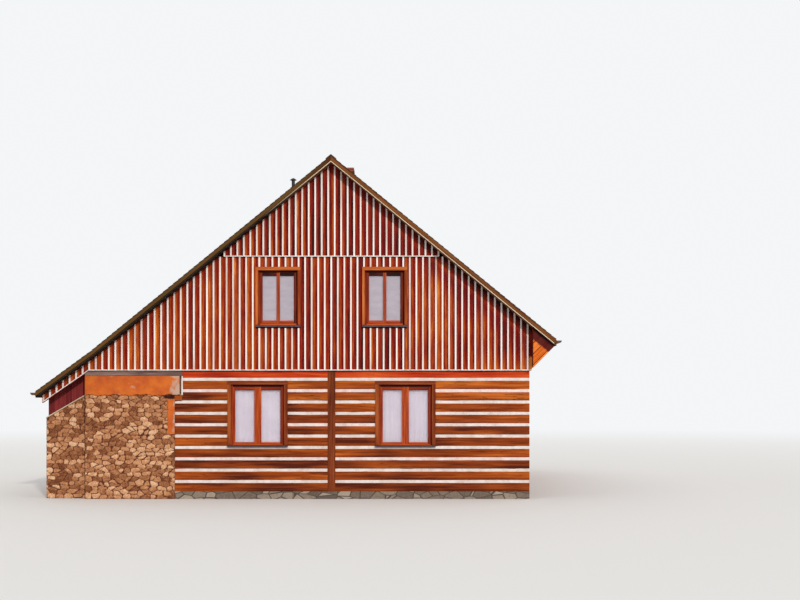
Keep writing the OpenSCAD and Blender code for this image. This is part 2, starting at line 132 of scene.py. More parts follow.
def noise(where, scale=1.0, detail=3.0, rough=0.55, stretch=None):
    # a soft noise, finer along each axis by its stretch
    if stretch is not None:
        where = shade("ShaderNodeMapping", {"Vector": where, "Scale": tuple(stretch)})
    return shade("ShaderNodeTexNoise",
                 {"Vector": where, "Scale": scale, "Detail": detail, "Roughness": rough})


def places(tree, kind="Object"):
    return Field(put(tree, "ShaderNodeTexCoord").outputs[kind])


def houseAxes(tree):
    # x from the ridge line and z from the ground
    split = put(tree, "ShaderNodeSeparateXYZ", {0: places(tree)}).outputs
    return Field(split[0]) - ridgeX, Field(split[2])


def attribute(tree, name):
    return Field(put(tree, "ShaderNodeAttribute", attribute_name=name).outputs["Fac"])


def paint(colour):
    # three parts of 0-255 on a screen to the shaders' linear colour; any other colour stays as it is
    if not isinstance(colour, tuple) or len(colour) != 3:
        return colour
    c = np.array(colour) / 255
    c = np.where(c <= 0.04045, c / 12.92, ((c + 0.055) / 1.055) ** 2.4)
    return (*c.tolist(), 1.0)


def blendColour(share, a, b, kind="MIX"):
    sockets = {0: share, 6: paint(a), 7: paint(b)}
    return shade("ShaderNodeMix", sockets, 2, data_type="RGBA", blend_type=kind)


def ramp(value, stops):
    node = put(value.tree, "ShaderNodeValToRGB", {0: value})
    marks = node.color_ramp.elements
    while len(marks) < len(stops):
        marks.new(0.5)
    for mark, (place, colour) in zip(marks, stops):
        mark.position = place
        mark.color = paint(colour)
    return Field(node.outputs[0])


# camera, lights and stage
camera = {"place": (1.7027, -30.0, 2.475), "lens": 54, "sensor": 36, "shift": 0.125, "reach": 500}
light = {"toSun": (0.30, -0.82, 0.36), "sun": 1.62, "angle": 3.0, "warm": (1.0, 0.94, 0.85), "sky": 0.85,
         "cool": (0.95, 0.965, 1.0, 1), "backdrop": 0.97, "pale": (0.93, 0.945, 0.96, 1)}


def addCamera():
    lens = bpy.data.cameras.new("houseView")
    lens.lens = camera["lens"]
    lens.sensor_width = camera["sensor"]
    lens.shift_y = camera["shift"]
    lens.clip_end = camera["reach"]
    obj = newObject("houseView", lens)
    obj.location = Vector(np.array(camera["place"]) + origin)
    obj.rotation_euler = (np.pi / 2, 0, 0)
    bpy.context.scene.camera = obj


def addSun():
    lamp = bpy.data.lights.new("sun", "SUN")
    lamp.energy = light["sun"]
    lamp.angle = np.radians(light["angle"])
    lamp.color = light["warm"]
    newObject("sun", lamp).rotation_euler = Vector(light["toSun"]).to_track_quat("Z", "Y").to_euler()


def addSky():
    # one plain sky for light, and a pale one where it is looked at or mirrored
    world = bpy.data.worlds.new("paleSky")
    bpy.context.scene.world = world
    world.use_nodes = True
    tree = world.node_tree
    glow = tree.nodes["Background"]
    setInputs(glow, {"Color": light["cool"], "Strength": light["sky"]})
    pale = put(tree, "ShaderNodeBackground", {"Color": light["pale"], "Strength": light["backdrop"]})
    rays = put(tree, "ShaderNodeLightPath").outputs
    seen = calc("MAXIMUM", Field(rays["Is Camera Ray"]), Field(rays["Is Glossy Ray"]))
    seen = calc("MAXIMUM", seen, Field(rays["Is Transmission Ray"]))
    mix = shade("ShaderNodeMixShader", {0: seen, 1: Field(glow.outputs[0]), 2: Field(pale.outputs[0])})
    setInputs(tree.nodes["World Output"], {"Surface": mix})


bpy.context.scene.view_settings.view_transform = "Standard"
addCamera()
addSun()
addSky()
print("camera and lights placed")


# materials
def newMaterial(name):
    mat = bpy.data.materials.new(name)
    mat.use_nodes = True
    return mat, mat.node_tree


def finish(mat, colour, rough, height=None, bump=(0.4, 0.004), gloss=0.5, over=None, plain=None):
    # a colour with what lies over it, a roughness, a bump of some strength and distance, and plain numbers
    sockets = {"Base Color": over(colour) if over else colour, "Roughness": rough,
               "Specular IOR Level": gloss}
    if height is not None:
        sockets["Normal"] = shade("ShaderNodeBump",
                                  {"Height": height, "Strength": bump[0], "Distance": bump[1]})
    setInputs(mat.node_tree.nodes["Principled BSDF"], {**sockets, **(plain or {})})
    return mat


def woodMaterial(name, dark, middle, pale, kind="UV", along=(1.3, 34, 1), spreadTint=0.5, rough=(0.55, 0.8),
                 bumpiness=0.35, blotch=0.3, checks=0.0, over=None):
    # fine grain drawn out along u, a slow blotch over it, one tint for each board, and drying cracks where a
    # drawn-out noise crosses its middle value
    mat, tree = newMaterial(name)
    where, along = places(tree, kind), np.array(along)
    grain = noise(where, detail=6.0, rough=0.62, stretch=along)
    slow = noise(where, detail=2.0, rough=0.5, stretch=along * (0.5, 0.16, 0.5))
    level = centred(grain) * 0.55 + 0.5 + centred(slow) * blotch
    if kind == "UV":
        level = level + (attribute(tree, "tint") - 0.5) * spreadTint
    colour = ramp(level, [(0.08, dark), (0.5, middle), (0.92, pale)])
    height = grain
    if checks > 0:
        split = noise(where, detail=2.0, rough=0.5, stretch=along * (0.7, 0.9, 1))
        crack = spread(abs(split - 0.5), 0.0, 0.014, checks, 0.0) * spread(slow, 0.48, 0.56)
        colour = blendColour(crack, colour, tuple(np.array(paint(dark)) * (0.25, 0.25, 0.25, 1)))
        height = grain - crack * 2.0
    return finish(mat, colour, fromNoise(grain, rough[1], rough[0]), height, (bumpiness, 0.004), 0.12, over)


def limeMaterial(name, base, stained, scale=1.0, bumpiness=0.4, over=None):
    # lime with slow stains and fine sand
    mat, tree = newMaterial(name)
    slow = noise(places(tree), 2.2 * scale, 4.0, 0.6)
    sand = noise(places(tree), 70 * scale, 3.0, 0.6)
    colour = blendColour(spread(slow, 0.38, 0.72), base, stained)
    colour = blendColour(0.22, colour, fromNoise(sand, 0.35, 1.0), "MULTIPLY")
    return finish(mat, colour, fromNoise(slow, 0.95, 0.8), slow * 2.0 + sand, (bumpiness, 0.004), 0.1, over)


def stoneMaterial(name, stops, mortar=None, vary=1.0, sandy=0.4, slowly=0.45, over=None):
    # one tint for each stone, sand in it, and mortar where the joint attribute is low
    mat, tree = newMaterial(name)
    fine = noise(places(tree), 34, 6.0, 0.7)
    slow = noise(places(tree), 7, 4.0, 0.6)
    level = (attribute(tree, "tint") - 0.5) * vary + 0.5 + centred(slow) * slowly + centred(fine) * sandy
    colour = ramp(level, stops)
    if mortar is not None:
        # darker where it lies deepest
        share = centred(fine) * 0.35 + attribute(tree, "joint")
        lime = blendColour(spread(share, 0.0, 0.3, 0.75, 0.0), mortar, stops[0][1])
        colour = blendColour(spread(share, 0.3, 0.62), lime, colour)
    return finish(mat, colour, fromNoise(fine, 0.95, 0.75), slow * 1.5 + fine, (0.55, 0.008), 0.12, over)


def metalMaterial(name, base, worn, metallic=0.2):
    # painted sheet with slow weathering and a faint grain of dust
    mat, tree = newMaterial(name)
    slow = noise(places(tree), 9.0, 5.0, 0.6)
    fine = noise(places(tree), 126.0, 2.0, 0.5)
    colour = ramp(fine * 0.25 + slow * 0.85, [(0.35, base), (0.72, worn)])
    return finish(mat, colour, fromNoise(slow, 0.32, 0.55), slow, (0.12, 0.003), plain={"Metallic": metallic})


def glassMaterial(name, film, dull, pale):
    # a thin clear pane under a grey film, with streaks of dust in its colour and its gloss
    mat, tree = newMaterial(name)
    dust = noise(places(tree), 3.0, 4.0, 0.6, stretch=(1, 1, 3))
    colour = ramp(dust, [(0.3, dull), (0.75, pale)])
    return finish(mat, colour, fromNoise(dust, 0.02, 0.08), gloss=0.6, plain={"Alpha": film})


def curtainMaterial():
    # white net: an open weave along u and v
    mat, tree = newMaterial("netCurtain")
    where = places(tree, "UV")
    weave = shade("ShaderNodeTexWave", {"Vector": where, "Scale": 60.0, "Distortion": 1.5, "Detail": 2.0}, 1,
                  bands_direction="X")
    level = weave * 0.3 + noise(where, 2.0, 3.0, 0.5) * 0.8
    colour = ramp(level, [(0.25, (236, 226, 234)), (0.75, (252, 247, 250))])
    return finish(mat, colour, 0.9, weave, (0.2, 0.002), plain={"Subsurface Weight": 0.1})


# shapes: a part is a dictionary of points, faces, their UVs and point values
front, inwards, acrossX, upZ = (0, -1, 0), (0, 1, 0), (1, 0, 0), (0, 0, 1)


def xyz(x, y, z):
    # points from their coordinates, each a number or an array
    return np.stack(np.broadcast_arrays(x, y, z), -1).astype(float)


def around(middle, width, gap=0.0):
    # both ends of a width about its middle, with a gap more at each
    return middle - width / 2 - gap, middle + width / 2 + gap


def gridQuads(a, b):
    # the faces of a grid of a by b points
    i = np.arange(a - 1)[:, None] * b + np.arange(b - 1)
    return np.stack([i, i + b, i + b + 1, i + 1], -1).reshape(-1, 4)


def bars(start, end, wide, deep, width, depth, skew=(0.0, 0.0), rings=2, bevel=0.0, wave=0.0, tint=None,
         seed=1):
    # straight bars: a profile in wide and deep, carried from start to end. A point is start + t (end - start)
    # + u wide + v deep, each end slanted by skew times u along the bar, and waved by sines of the length
    start, end = np.atleast_2d(np.asarray(start, float)), np.atleast_2d(np.asarray(end, float))
    n = max(len(start), len(end))
    fill = lambda a, shape: np.broadcast_to(np.asarray(a, float), shape).copy()
    start, end, wide, deep = (fill(a, (n, 3)) for a in (start, end, wide, deep))
    width, depth, skew0, skew1 = (fill(a, (n,))[:, None] for a in (width, depth, skew[0], skew[1]))
    rng = np.random.default_rng(seed)
    tint = rng.random(n) if tint is None else fill(tint, (n,))
    length = np.linalg.norm(end - start, axis=1)
    axis = (end - start) / length[:, None]
    hand = np.where(np.einsum("ij,ij->i", np.cross(axis, wide), deep) < 0, -1.0, 1.0)
    if bevel > 0:
        u = width / 2 * [1, 1, 1, 1, -1, -1, -1, -1] - bevel * np.array([1, 0, 0, 1, -1, 0, 0, -1])
        v = depth / 2 * [-1, -1, 1, 1, 1, 1, -1, -1] + bevel * np.array([0, 1, -1, 0, 0, -1, 1, 0])
    else:
        u, v = width / 2 * [1, 1, -1, -1], depth / 2 * [-1, 1, 1, -1]
    m = u.shape[1]
    u = u * hand[:, None]
    t = np.linspace(0, 1, rings)[:, None]
    run = t * length[:, None, None] + ((1 - t) * skew0[:, None] + t * skew1[:, None]) * u[:, None, :]
    du = np.zeros((n, rings, m))
    dv = np.zeros((n, rings, m))
    if wave > 0:
        for span in (0.9, 2.3):
            phase = rng.random((2, n, 1, m)) * 2 * np.pi
            du += wave * 0.5 * np.sin(2 * np.pi * run / span + phase[0])
            dv += wave * 0.5 * np.sin(2 * np.pi * run / span + phase[1])
        du += wave * 0.35 * (rng.random((n, rings, m)) - 0.5)
    points = (start[:, None, None, :] + run[..., None] * axis[:, None, None, :]
              + (u[:, None, :] + du)[..., None] * wide[:, None, None, :]
              + (v[:, None, :] + dv)[..., None] * deep[:, None, None, :])
    side = np.hypot(np.roll(u, -1, 1) - u, np.roll(v, -1, 1) - v)
    girth = np.concatenate([np.zeros((n, 1)), np.cumsum(side, 1)], 1) + rng.random((n, 1)) * 50
    along = run.mean(2) + rng.random((n, 1)) * 50
    first = np.arange(n)[:, None] * rings * m
    r, k = np.arange(rings - 1)[:, None] * m, np.arange(m)
    k2 = (k + 1) % m
    quads = first[..., None, None] + np.stack([r + k, r + k2, r + m + k2, r + m + k], -1)
    a0, a1, b0, b1 = along[:, :-1, None], along[:, 1:, None], girth[:, None, :-1], girth[:, None, 1:]
    uv = np.stack(np.broadcast_arrays(a0, b0, a0, b1, a1, b1, a1, b0), -1)
    ends = np.concatenate([first + k[::-1], first + (rings - 1) * m + k])
    flat = np.stack([u * 0.3 + girth[:, :1], v * 3 + along[:, :1]], -1)
    return {"points": points.reshape(-1, 3), "faces": [quads.reshape(-1, 4), ends],
            "uvs": [uv.reshape(-1, 4, 2), np.concatenate([flat[:, ::-1], flat])],
            "tint": np.repeat(tint, rings * m), "across": np.repeat(u / width + 0.5, rings, 0).ravel()}


def prism(outline, y0, y1, tint=0.5, grain=(1.0, 0.0)):
    # (x, z) points, anticlockwise from the front, carried from y0 to y1; the grain of its ends runs as given
    outline = np.asarray(outline, float)
    flat = np.stack([outline @ np.array(grain), outline @ np.array([-grain[1], grain[0]])], 1) + tint * 9
    m = len(outline)
    k = np.arange(m)
    k2 = (k + 1) % m
    edge = np.concatenate([[0], np.cumsum(np.hypot(*(np.roll(outline, -1, 0) - outline).T))])
    uv = np.stack(np.broadcast_arrays(y0, edge[1:], y0, edge[:-1], y1, edge[:-1], y1, edge[1:]), -1)
    return {"points": np.concatenate([np.insert(outline, 1, y, 1) for y in (y0, y1)]),
            "faces": [np.stack([k2, k, k + m, k2 + m], 1), np.stack([k, k[::-1] + m])],
            "uvs": [uv.reshape(-1, 4, 2), np.stack([flat, flat[::-1]])], "tint": np.full(2 * m, tint)}


def move(part, offset=(0, 0, 0), turn=None):
    # turn "side" swings a front-facing part to face +x: x goes to y, and y to -x
    p = part["points"]
    if turn == "side":
        p = xyz(-p[:, 1], p[:, 0], p[:, 2])
    return {**part, "points": p + np.asarray(offset, float)}


def turnedRound(part):
    # the same part with each face's corners in the other order
    return {**part, "faces": [f[:, ::-1] for f in part["faces"]], "uvs": [w[:, ::-1] for w in part["uvs"]]}


def mirrored(parts):
    # the same parts on the back gable: y goes to houseLen - y, and each face is turned round
    return [{**turnedRound(p), "points": p["points"] * (1, -1, 1) + (0, houseLen, 0)} for p in parts]


def bothGables(parts):
    return parts + mirrored(parts)


def build(name, parts, material, replaces=(), smooth=False):
    # joins parts into one mesh object at the origin, with UVs and the values its material reads
    first = np.cumsum([0] + [len(p["points"]) for p in parts]).tolist()
    faces, uvs = [], []
    for p, start in zip(parts, first):
        for f, w in zip(p["faces"], p["uvs"]):
            faces += (f + start).tolist()
            uvs.append(w.reshape(-1, 2))
    mesh = bpy.data.meshes.new(name)
    mesh.from_pydata(np.concatenate([p["points"] for p in parts]) + origin, [], faces)
    mesh.uv_layers.new(name="UVMap").data.foreach_set("uv", np.concatenate(uvs).astype(np.float32).ravel())
    for key in ("tint", "joint", "across"):
        if key in parts[0]:
            values = np.concatenate([p[key] for p in parts]).astype(np.float32)
            mesh.attributes.new(key, "FLOAT", "POINT").data.foreach_set("value", values)
    mesh.polygons.foreach_set("use_smooth", np.full(len(mesh.polygons), smooth))
    mesh.materials.append(material)
    mesh.update()
    obj = newObject(name, mesh)
    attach(obj, "root")
    if replaces:
        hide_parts(*replaces)
    return obj


def finishNodes(material, *names):
    # CAD nodes keep their mesh and get a better material
    for name in names:
        obj = nodes[name]
        if not obj.material_slots:
            obj.data.materials.append(material)
        for s in obj.material_slots:
            s.material = material


# the roof's lines
roof = {"ridge": float(high("roof_left")[2]), "pitch": 39.197, "foot": 36.130, "kick": 5.901, "deep": 0.130,
        "left": float(low("roof_left")[0]), "right": float(high("roof_right")[0]), "verge": 0.440,
        "barge": 0.035}
angle = {part: np.radians(roof[part]) for part in ("pitch", "foot")}
slope, footSlope = np.tan(angle["pitch"]), np.tan(angle["foot"])
kickZ = roof["ridge"] - slope * roof["kick"]


def slopeZ(x, depth, part):
    # height of one straight stretch of a slope, its pitch or its flatter foot, at a depth square to it
    if part == "pitch":
        return roof["ridge"] - depth / np.cos(angle[part]) - slope * np.abs(x)
    return kickZ - depth / np.cos(angle[part]) - footSlope * (np.abs(x) - roof["kick"])


def roofZ(x, depth=0.0):
    # height of the whole slope, with the flatter foot at the left
    x = np.asarray(x, float)
    main = slopeZ(x, depth, "pitch")
    return np.where(x < 0, np.maximum(main, slopeZ(x, depth, "foot")), main)


def underLine(x, far, inner, outer):
    # an even fall between two places under the roof slab: by inner at the annex's left edge, by outer at far
    a = house["annexLeft"]
    za, zb = roofZ(a, roof["deep"]) - inner, roofZ(far, roof["deep"]) - outer
    return za + (zb - za) * (np.asarray(x) - a) / (far - a)


def belowRoof(x, z):
    # a shader's height below the roof's line
    return abs(x) * -slope + roof["ridge"] - z


house = {"centre": -0.010, "gable": 3.212, "plates": 3.031, "plinth": 0.191, "course": 0.284, "log": 0.209,
         "logs": 10, "logT": 0.200, "post": 0.190, "right": 4.940, "endLow": -3.927, "endHigh": -3.735,
         "step": 2.463, "annexLeft": float(low("annex_front_wall")[0]), "wallLeft": -7.200, "wallT": 0.45,
         "tier": float(low("front_gable_upper")[2]), "boardRight": 4.998, "gap": 0.005,
         "stoneTop": float(high("annex_front_wall")[2]), "stoneFace": -0.030}
groundWin = {"x": 1.848, "z": 1.350, "w": 1.338, "h": 1.510, "side": 0.086, "head": 0.086, "face": 0.0,
             "stile": 0.102, "mullion": 0.169, "low": 0.070, "top": 0.140, "recess": 0.062, "headTint": 0.50,
             "railTint": 0.45, "leftTint": 0.50, "rightTint": 0.60, "stileTint": 0.50, "fixedTint": 0.42}
atticWin = {"x": 1.330, "z": 4.350, "w": 0.995, "h": 1.357, "side": 0.066, "head": 0.086, "face": 0.090,
            "stile": 0.105, "mullion": 0.080, "low": 0.112, "top": 0.132, "recess": 0.098, "headTint": 0.45,
            "railTint": 0.0, "leftTint": 0.42, "rightTint": 0.20, "stileTint": 0.34, "fixedTint": 0.26}
groundX, atticX = ([s * w["x"] + house["centre"] for s in (-1, 1)] for w in (groundWin, atticWin))
sideWindows = (2.3, 4.9, houseLen - 2.3)
door = {"y": 7.4, "w": 1.0, "h": 2.05, "lining": 0.06, "gap": 0.003}
postEnds = around(house["centre"], house["post"])
sideEnds = (house["logT"] + 0.001, houseLen - house["logT"] - 0.001)


# squared logs, posts and plates
def splitRun(a, b, holes):
    # the stretches of a..b that no hole covers
    edges = [a, *(x for hole in sorted(holes) for x in hole), b]
    return [(p, q) for p, q in zip(edges[::2], edges[1::2]) if q - p > 0.02]


def logRows(endsAt, posts, wins, gates):
    # rows of (from, to, bottom, top): each course stops at the posts, and at the windows and doors that it
    # meets; what a course leaves under a sill or over a head is a thin log
    sill, head, lintel = groundWin["z"], groundWin["z"] + groundWin["h"], house["plinth"] + door["h"]
    rows = []
    for z in house["plinth"] + np.arange(house["logs"]) * house["course"]:
        crest = z + house["log"]
        crossed = crest > sill and z < head
        holes = posts + (wins if crossed else []) + (gates if z < lintel else [])
        rows += [(a, b, z, crest) for a, b in splitRun(*endsAt(z), holes)]
        if crossed and z < sill:
            rows += [(a, b, z, sill - 0.004) for a, b in wins]
        if crossed and crest > head:
            rows += [(a, b, head + 0.004, crest) for a, b in wins]
        if z < lintel < crest:
            rows += [(a, b, lintel + door["gap"], crest) for a, b in gates]
    return np.array(rows)


def gableEnds(z):
    # the upper logs stop at the plaster, the lower ones run on over the stone
    return (house["endLow"] if z + 0.1 < house["step"] else house["endHigh"]), house["right"]


def logParts(rows, seed):
    # the logs of a wall lie in y 0..logT, and the highest are paler: s s (3 - 2 s), where s goes from 0 to 1
    # over the last quarter of the wall's height
    mid, tall = (rows[:, 2] + rows[:, 3]) / 2, rows[:, 3] - rows[:, 2]
    s = np.clip(((mid - house["plinth"]) / (house["plates"] - house["plinth"]) - 0.72) / 0.23, 0, 1)
    tint = 0.20 + 0.58 * s * s * (3 - 2 * s)
    tint = np.clip(tint + 0.26 * (np.random.default_rng(seed).random(len(rows)) - 0.5), 0, 1)
    start, end = (xyz(rows[:, i], house["logT"] / 2, mid) for i in (0, 1))
    return [bars(start[pick], end[pick], upZ, front, tall[pick], house["logT"], rings=14, bevel=cut,
                 wave=sway, tint=tint[pick], seed=seed)
            for pick, cut, sway in ((tall >= 0.12, 0.016, 0.007), (tall < 0.12, 0.004, 0.0)) if pick.any()]


def onSide(parts, y=0.0, z=0.0):
    # front-facing parts swung to the right-hand wall
    return [move(p, (house["right"], y, z), "side") for p in parts]


logWood = woodMaterial("logWood", (84, 28, 9), (156, 68, 17), (206, 108, 36), along=(0.8, 15, 1),
                       spreadTint=0.42, bumpiness=0.7, blotch=0.70, checks=0.80)
plateWood = woodMaterial("plateWood", (128, 24, 8), (196, 58, 18), (228, 98, 38), along=(0.8, 18, 1),
                         spreadTint=0.1, bumpiness=0.4, blotch=0.6, checks=0.6)
postWood = woodMaterial("postWood", (84, 30, 10), (142, 66, 28), (184, 100, 50), along=(0.9, 20, 1),
                        bumpiness=0.4, blotch=0.5, checks=0.7)
greyWood = woodMaterial("greyWood", (84, 62, 56), (134, 106, 98), (176, 148, 138), along=(0.9, 22, 1),
                        bumpiness=0.6, blotch=0.6, checks=0.7)
frontRows = logRows(gableEnds, [postEnds], [around(x, groundWin["w"], house["gap"]) for x in groundX], [])
sideRows = logRows(lambda z: sideEnds, [], [around(y, groundWin["w"], house["gap"]) for y in sideWindows],
                   [around(door["y"], door["w"], door["gap"])])
# the foot of one more log end shows between the plaster and the joint below it
stub = {"y": -0.030, "z": 2.527, "tall": 0.120, "deep": 0.020, "from": house["endLow"] + 0.002,
        "to": house["endHigh"] - 0.004}
start, end = ((stub[key], stub["y"], stub["z"]) for key in ("from", "to"))
logEnd = bars(start, end, upZ, front, stub["tall"], stub["deep"], bevel=0.004, tint=0.7, seed=15)
build("hewnLogsFront", logParts(frontRows, 3) + [logEnd], logWood, ["front_logs"])
build("hewnLogsBack", mirrored(logParts(frontRows, 4) + [logEnd]), logWood, ["back_logs"])
build("hewnLogsRight", onSide(logParts(sideRows, 5)), logWood, ["right_logs"])


def topPlate(runs, rings, seed):
    # the bright beam on the logs, in the stretches given
    z = (house["plates"] + house["gable"]) / 2
    start, end = (xyz(x, house["logT"] / 2, z) for x in np.array(runs).T)
    return [bars(start, end, upZ, front, house["gable"] - house["plates"], house["logT"], rings=rings,
                 bevel=0.014, wave=0.004, seed=seed)]


plateRuns = splitRun(house["endHigh"], house["right"], [postEnds])
build("topPlateFront", topPlate(plateRuns, 14, 7), plateWood, ["front_top_plate"])
build("topPlateBack", mirrored(topPlate(plateRuns, 14, 8)), plateWood, ["back_top_plate"])
build("topPlateRight", onSide(topPlate([sideEnds], 40, 9)), plateWood, ["right_top_plate"])
timber = {"postY": 0.094, "postDeep": 0.212, "plateY": 0.085, "plateZ": 3.143, "plateTall": 0.138,
          "plateDeep": 0.23}
start, end = ((house["centre"], timber["postY"], house[key]) for key in ("plinth", "gable"))
post = bars(start, end, acrossX, front, house["post"], timber["postDeep"], rings=12, bevel=0.01, wave=0.003,
            seed=11)
build("gablePosts", bothGables([post]), postWood, ["gable_posts"])
start, end = ((house[key], timber["plateY"], timber["plateZ"]) for key in ("annexLeft", "endHigh"))
annexPlate = bars(start, end, upZ, front, timber["plateTall"], timber["plateDeep"], rings=14, bevel=0.01,
                  wave=0.005, seed=12)
build("annexPlates", bothGables([annexPlate]), greyWood, ["annex_plates"])
print("logs, posts and plates built")


# board and batten gables
cladding = {"pitchLow": 0.16315, "startLow": -1.9678, "pitchHigh": 0.1615, "startHigh": -1.8618,
            "batten": 0.040, "battenT": 0.028, "lath": 0.022, "inner": 0.060, "faceLow": 0.090,
            "faceHigh": 0.130, "skirtIn": 0.217, "skirtOut": 0.173, "skirtEnd": -7.228, "bed": 0.002}
tierRun = (slopeZ(0, roof["deep"], "pitch") - house["tier"]) / slope
kickDeep = roof["deep"] * (1 / np.cos(angle["foot"]) - 1 / np.cos(angle["pitch"]))
bendRun = roof["kick"] + kickDeep / (slope - footSlope)


def skirtZ(x):
    # lower edge of the boarding: level over the walls, then falling along the verge left of the annex
    falling = underLine(x, cladding["skirtEnd"], cladding["skirtIn"], cladding["skirtOut"])
    return np.where(np.asarray(x) < house["annexLeft"], falling, house["gable"])


def eaveZ(x):
    # height of the roof slab's underside
    return roofZ(x, roof["deep"])


def upright(x0, x1, bottom, top, y0, y1, tint, seed):
    # boards from x0 to x1 with slanted ends: bottom and top give the heights at both edges
    keep = np.minimum(top[0] - bottom[0], top[1] - bottom[1]) > 0.004
    x0, x1, tint, b0, b1, t0, t1 = (v[keep] for v in (x0, x1, tint, *bottom, *top))
    mid, y, wide = (x0 + x1) / 2, (y0 + y1) / 2, x1 - x0
    return bars(xyz(mid, y, (b0 + b1) / 2), xyz(mid, y, (t0 + t1) / 2), acrossX, front, wide, y1 - y0,
                skew=((b1 - b0) / wide, (t1 - t0) / wide), tint=tint, seed=seed)


def within(x, middles, reach):
    # whether each x lies closer to one of the middles than a reach
    return np.any([np.zeros(len(x), bool)] + [np.abs(x - m) < reach for m in middles], 0)


def cladTier(a, b, bottomOf, topOf, start, pitch, face, windows, seed):
    # boards between batten centres, cut round the windows, then battens and the laths along the foot
    w, half, boardFace = atticWin, cladding["batten"] / 2, face - cladding["battenT"]
    rng = np.random.default_rng(seed)

    def strips(x0, x1, inset, cut, sill, head, y0, y1, tint, seed):
        # where a window cuts them, they stop at its sill and go on from its head
        foot, peak = ([edgeOf(x0 + inset), edgeOf(x1 - inset)] for edgeOf in (bottomOf, topOf))
        sill, head = ([np.full(len(x0), z)] * 2 for z in (sill, head))
        cases = [(~cut, foot, peak)] + ([(cut, foot, sill), (cut, head, peak)] if cut.any() else [])
        return [upright(x0[pick], x1[pick], [v[pick] for v in under], [v[pick] for v in over], y0, y1,
                        tint[pick], seed) for pick, under, over in cases]

    centres = start + pitch * np.arange(np.ceil((a - start) / pitch), np.floor((b - start) / pitch) + 1)
    centres = centres[(centres > a + 0.02) & (centres < b - 0.02)]
    gaps = [around(x, w["w"], house["gap"]) for x in windows]
    extra = [v for v in (-tierRun, tierRun, 0.0, -bendRun, house["annexLeft"]) if a < v < b]
    edges = np.unique(np.round(np.concatenate([[a, b], centres, np.ravel(gaps), extra]), 5))
    mid = (edges[:-1] + edges[1:]) / 2
    tints = rng.random(len(centres) + 2)[np.searchsorted(centres, mid)]
    cut = within(mid, windows, w["w"] / 2 + house["gap"])
    boards = strips(edges[:-1], edges[1:], 1e-6, cut, w["z"] - 0.002, w["z"] + w["h"] + 0.005, -boardFace,
                    cladding["inner"], tints, seed)
    hit = within(centres, windows, w["w"] / 2 + w["side"] + half * 0.4)
    bed = cladding["bed"] - boardFace
    battens = strips(centres - half, centres + half, 0.0, hit, w["z"] - 0.082,
                     w["z"] + w["h"] + w["head"] - 0.004, -face, bed, rng.random(len(centres)), seed + 1)
    ends = np.concatenate([[a - half], centres, [b + half]])
    x0, x1 = ends[:-1] + half, ends[1:] - half
    z0, z1 = bottomOf(x0), bottomOf(x1)
    wide = (x1 - x0 > 0.02) & (topOf(x0) - z0 > 0.06) & (topOf(x1) - z1 > 0.06)
    x0, x1, z0, z1 = (v[wide] for v in (x0, x1, z0, z1))
    battens.append(upright(x0, x1, [z0, z1], [z0 + cladding["lath"], z1 + cladding["lath"]], 0.004 - face,
                           bed, rng.random(len(x0)), seed + 2))
    return boards, battens


def gableCladding(seed):
    # the lower tier up to the tier line and the upper one above it, which stands further out
    tier = house["tier"]
    lower = cladTier(cladding["skirtEnd"], house["boardRight"], skirtZ, lambda x: np.minimum(eaveZ(x), tier),
                     cladding["startLow"], cladding["pitchLow"], cladding["faceLow"], atticX, seed)
    upper = cladTier(0.002 - tierRun, tierRun - 0.002, lambda x: np.full(np.shape(x), tier), eaveZ,
                     cladding["startHigh"], cladding["pitchHigh"], cladding["faceHigh"], [], seed + 5)
    return lower[0] + upper[0], lower[1] + upper[1]


# settings for the boards' maroon stain and for the painted shade and painted light on them
stainAndShade = {"near": 0.40, "far": 0.95, "ragged": 0.50, "board": 0.45, "wider": 0.35, "lowFall": 0.36,
         "upFall": 0.72, "maroon": 0.27, "last": 4.90, "lift": 0.50, "shadeUnderVerge": 0.25}


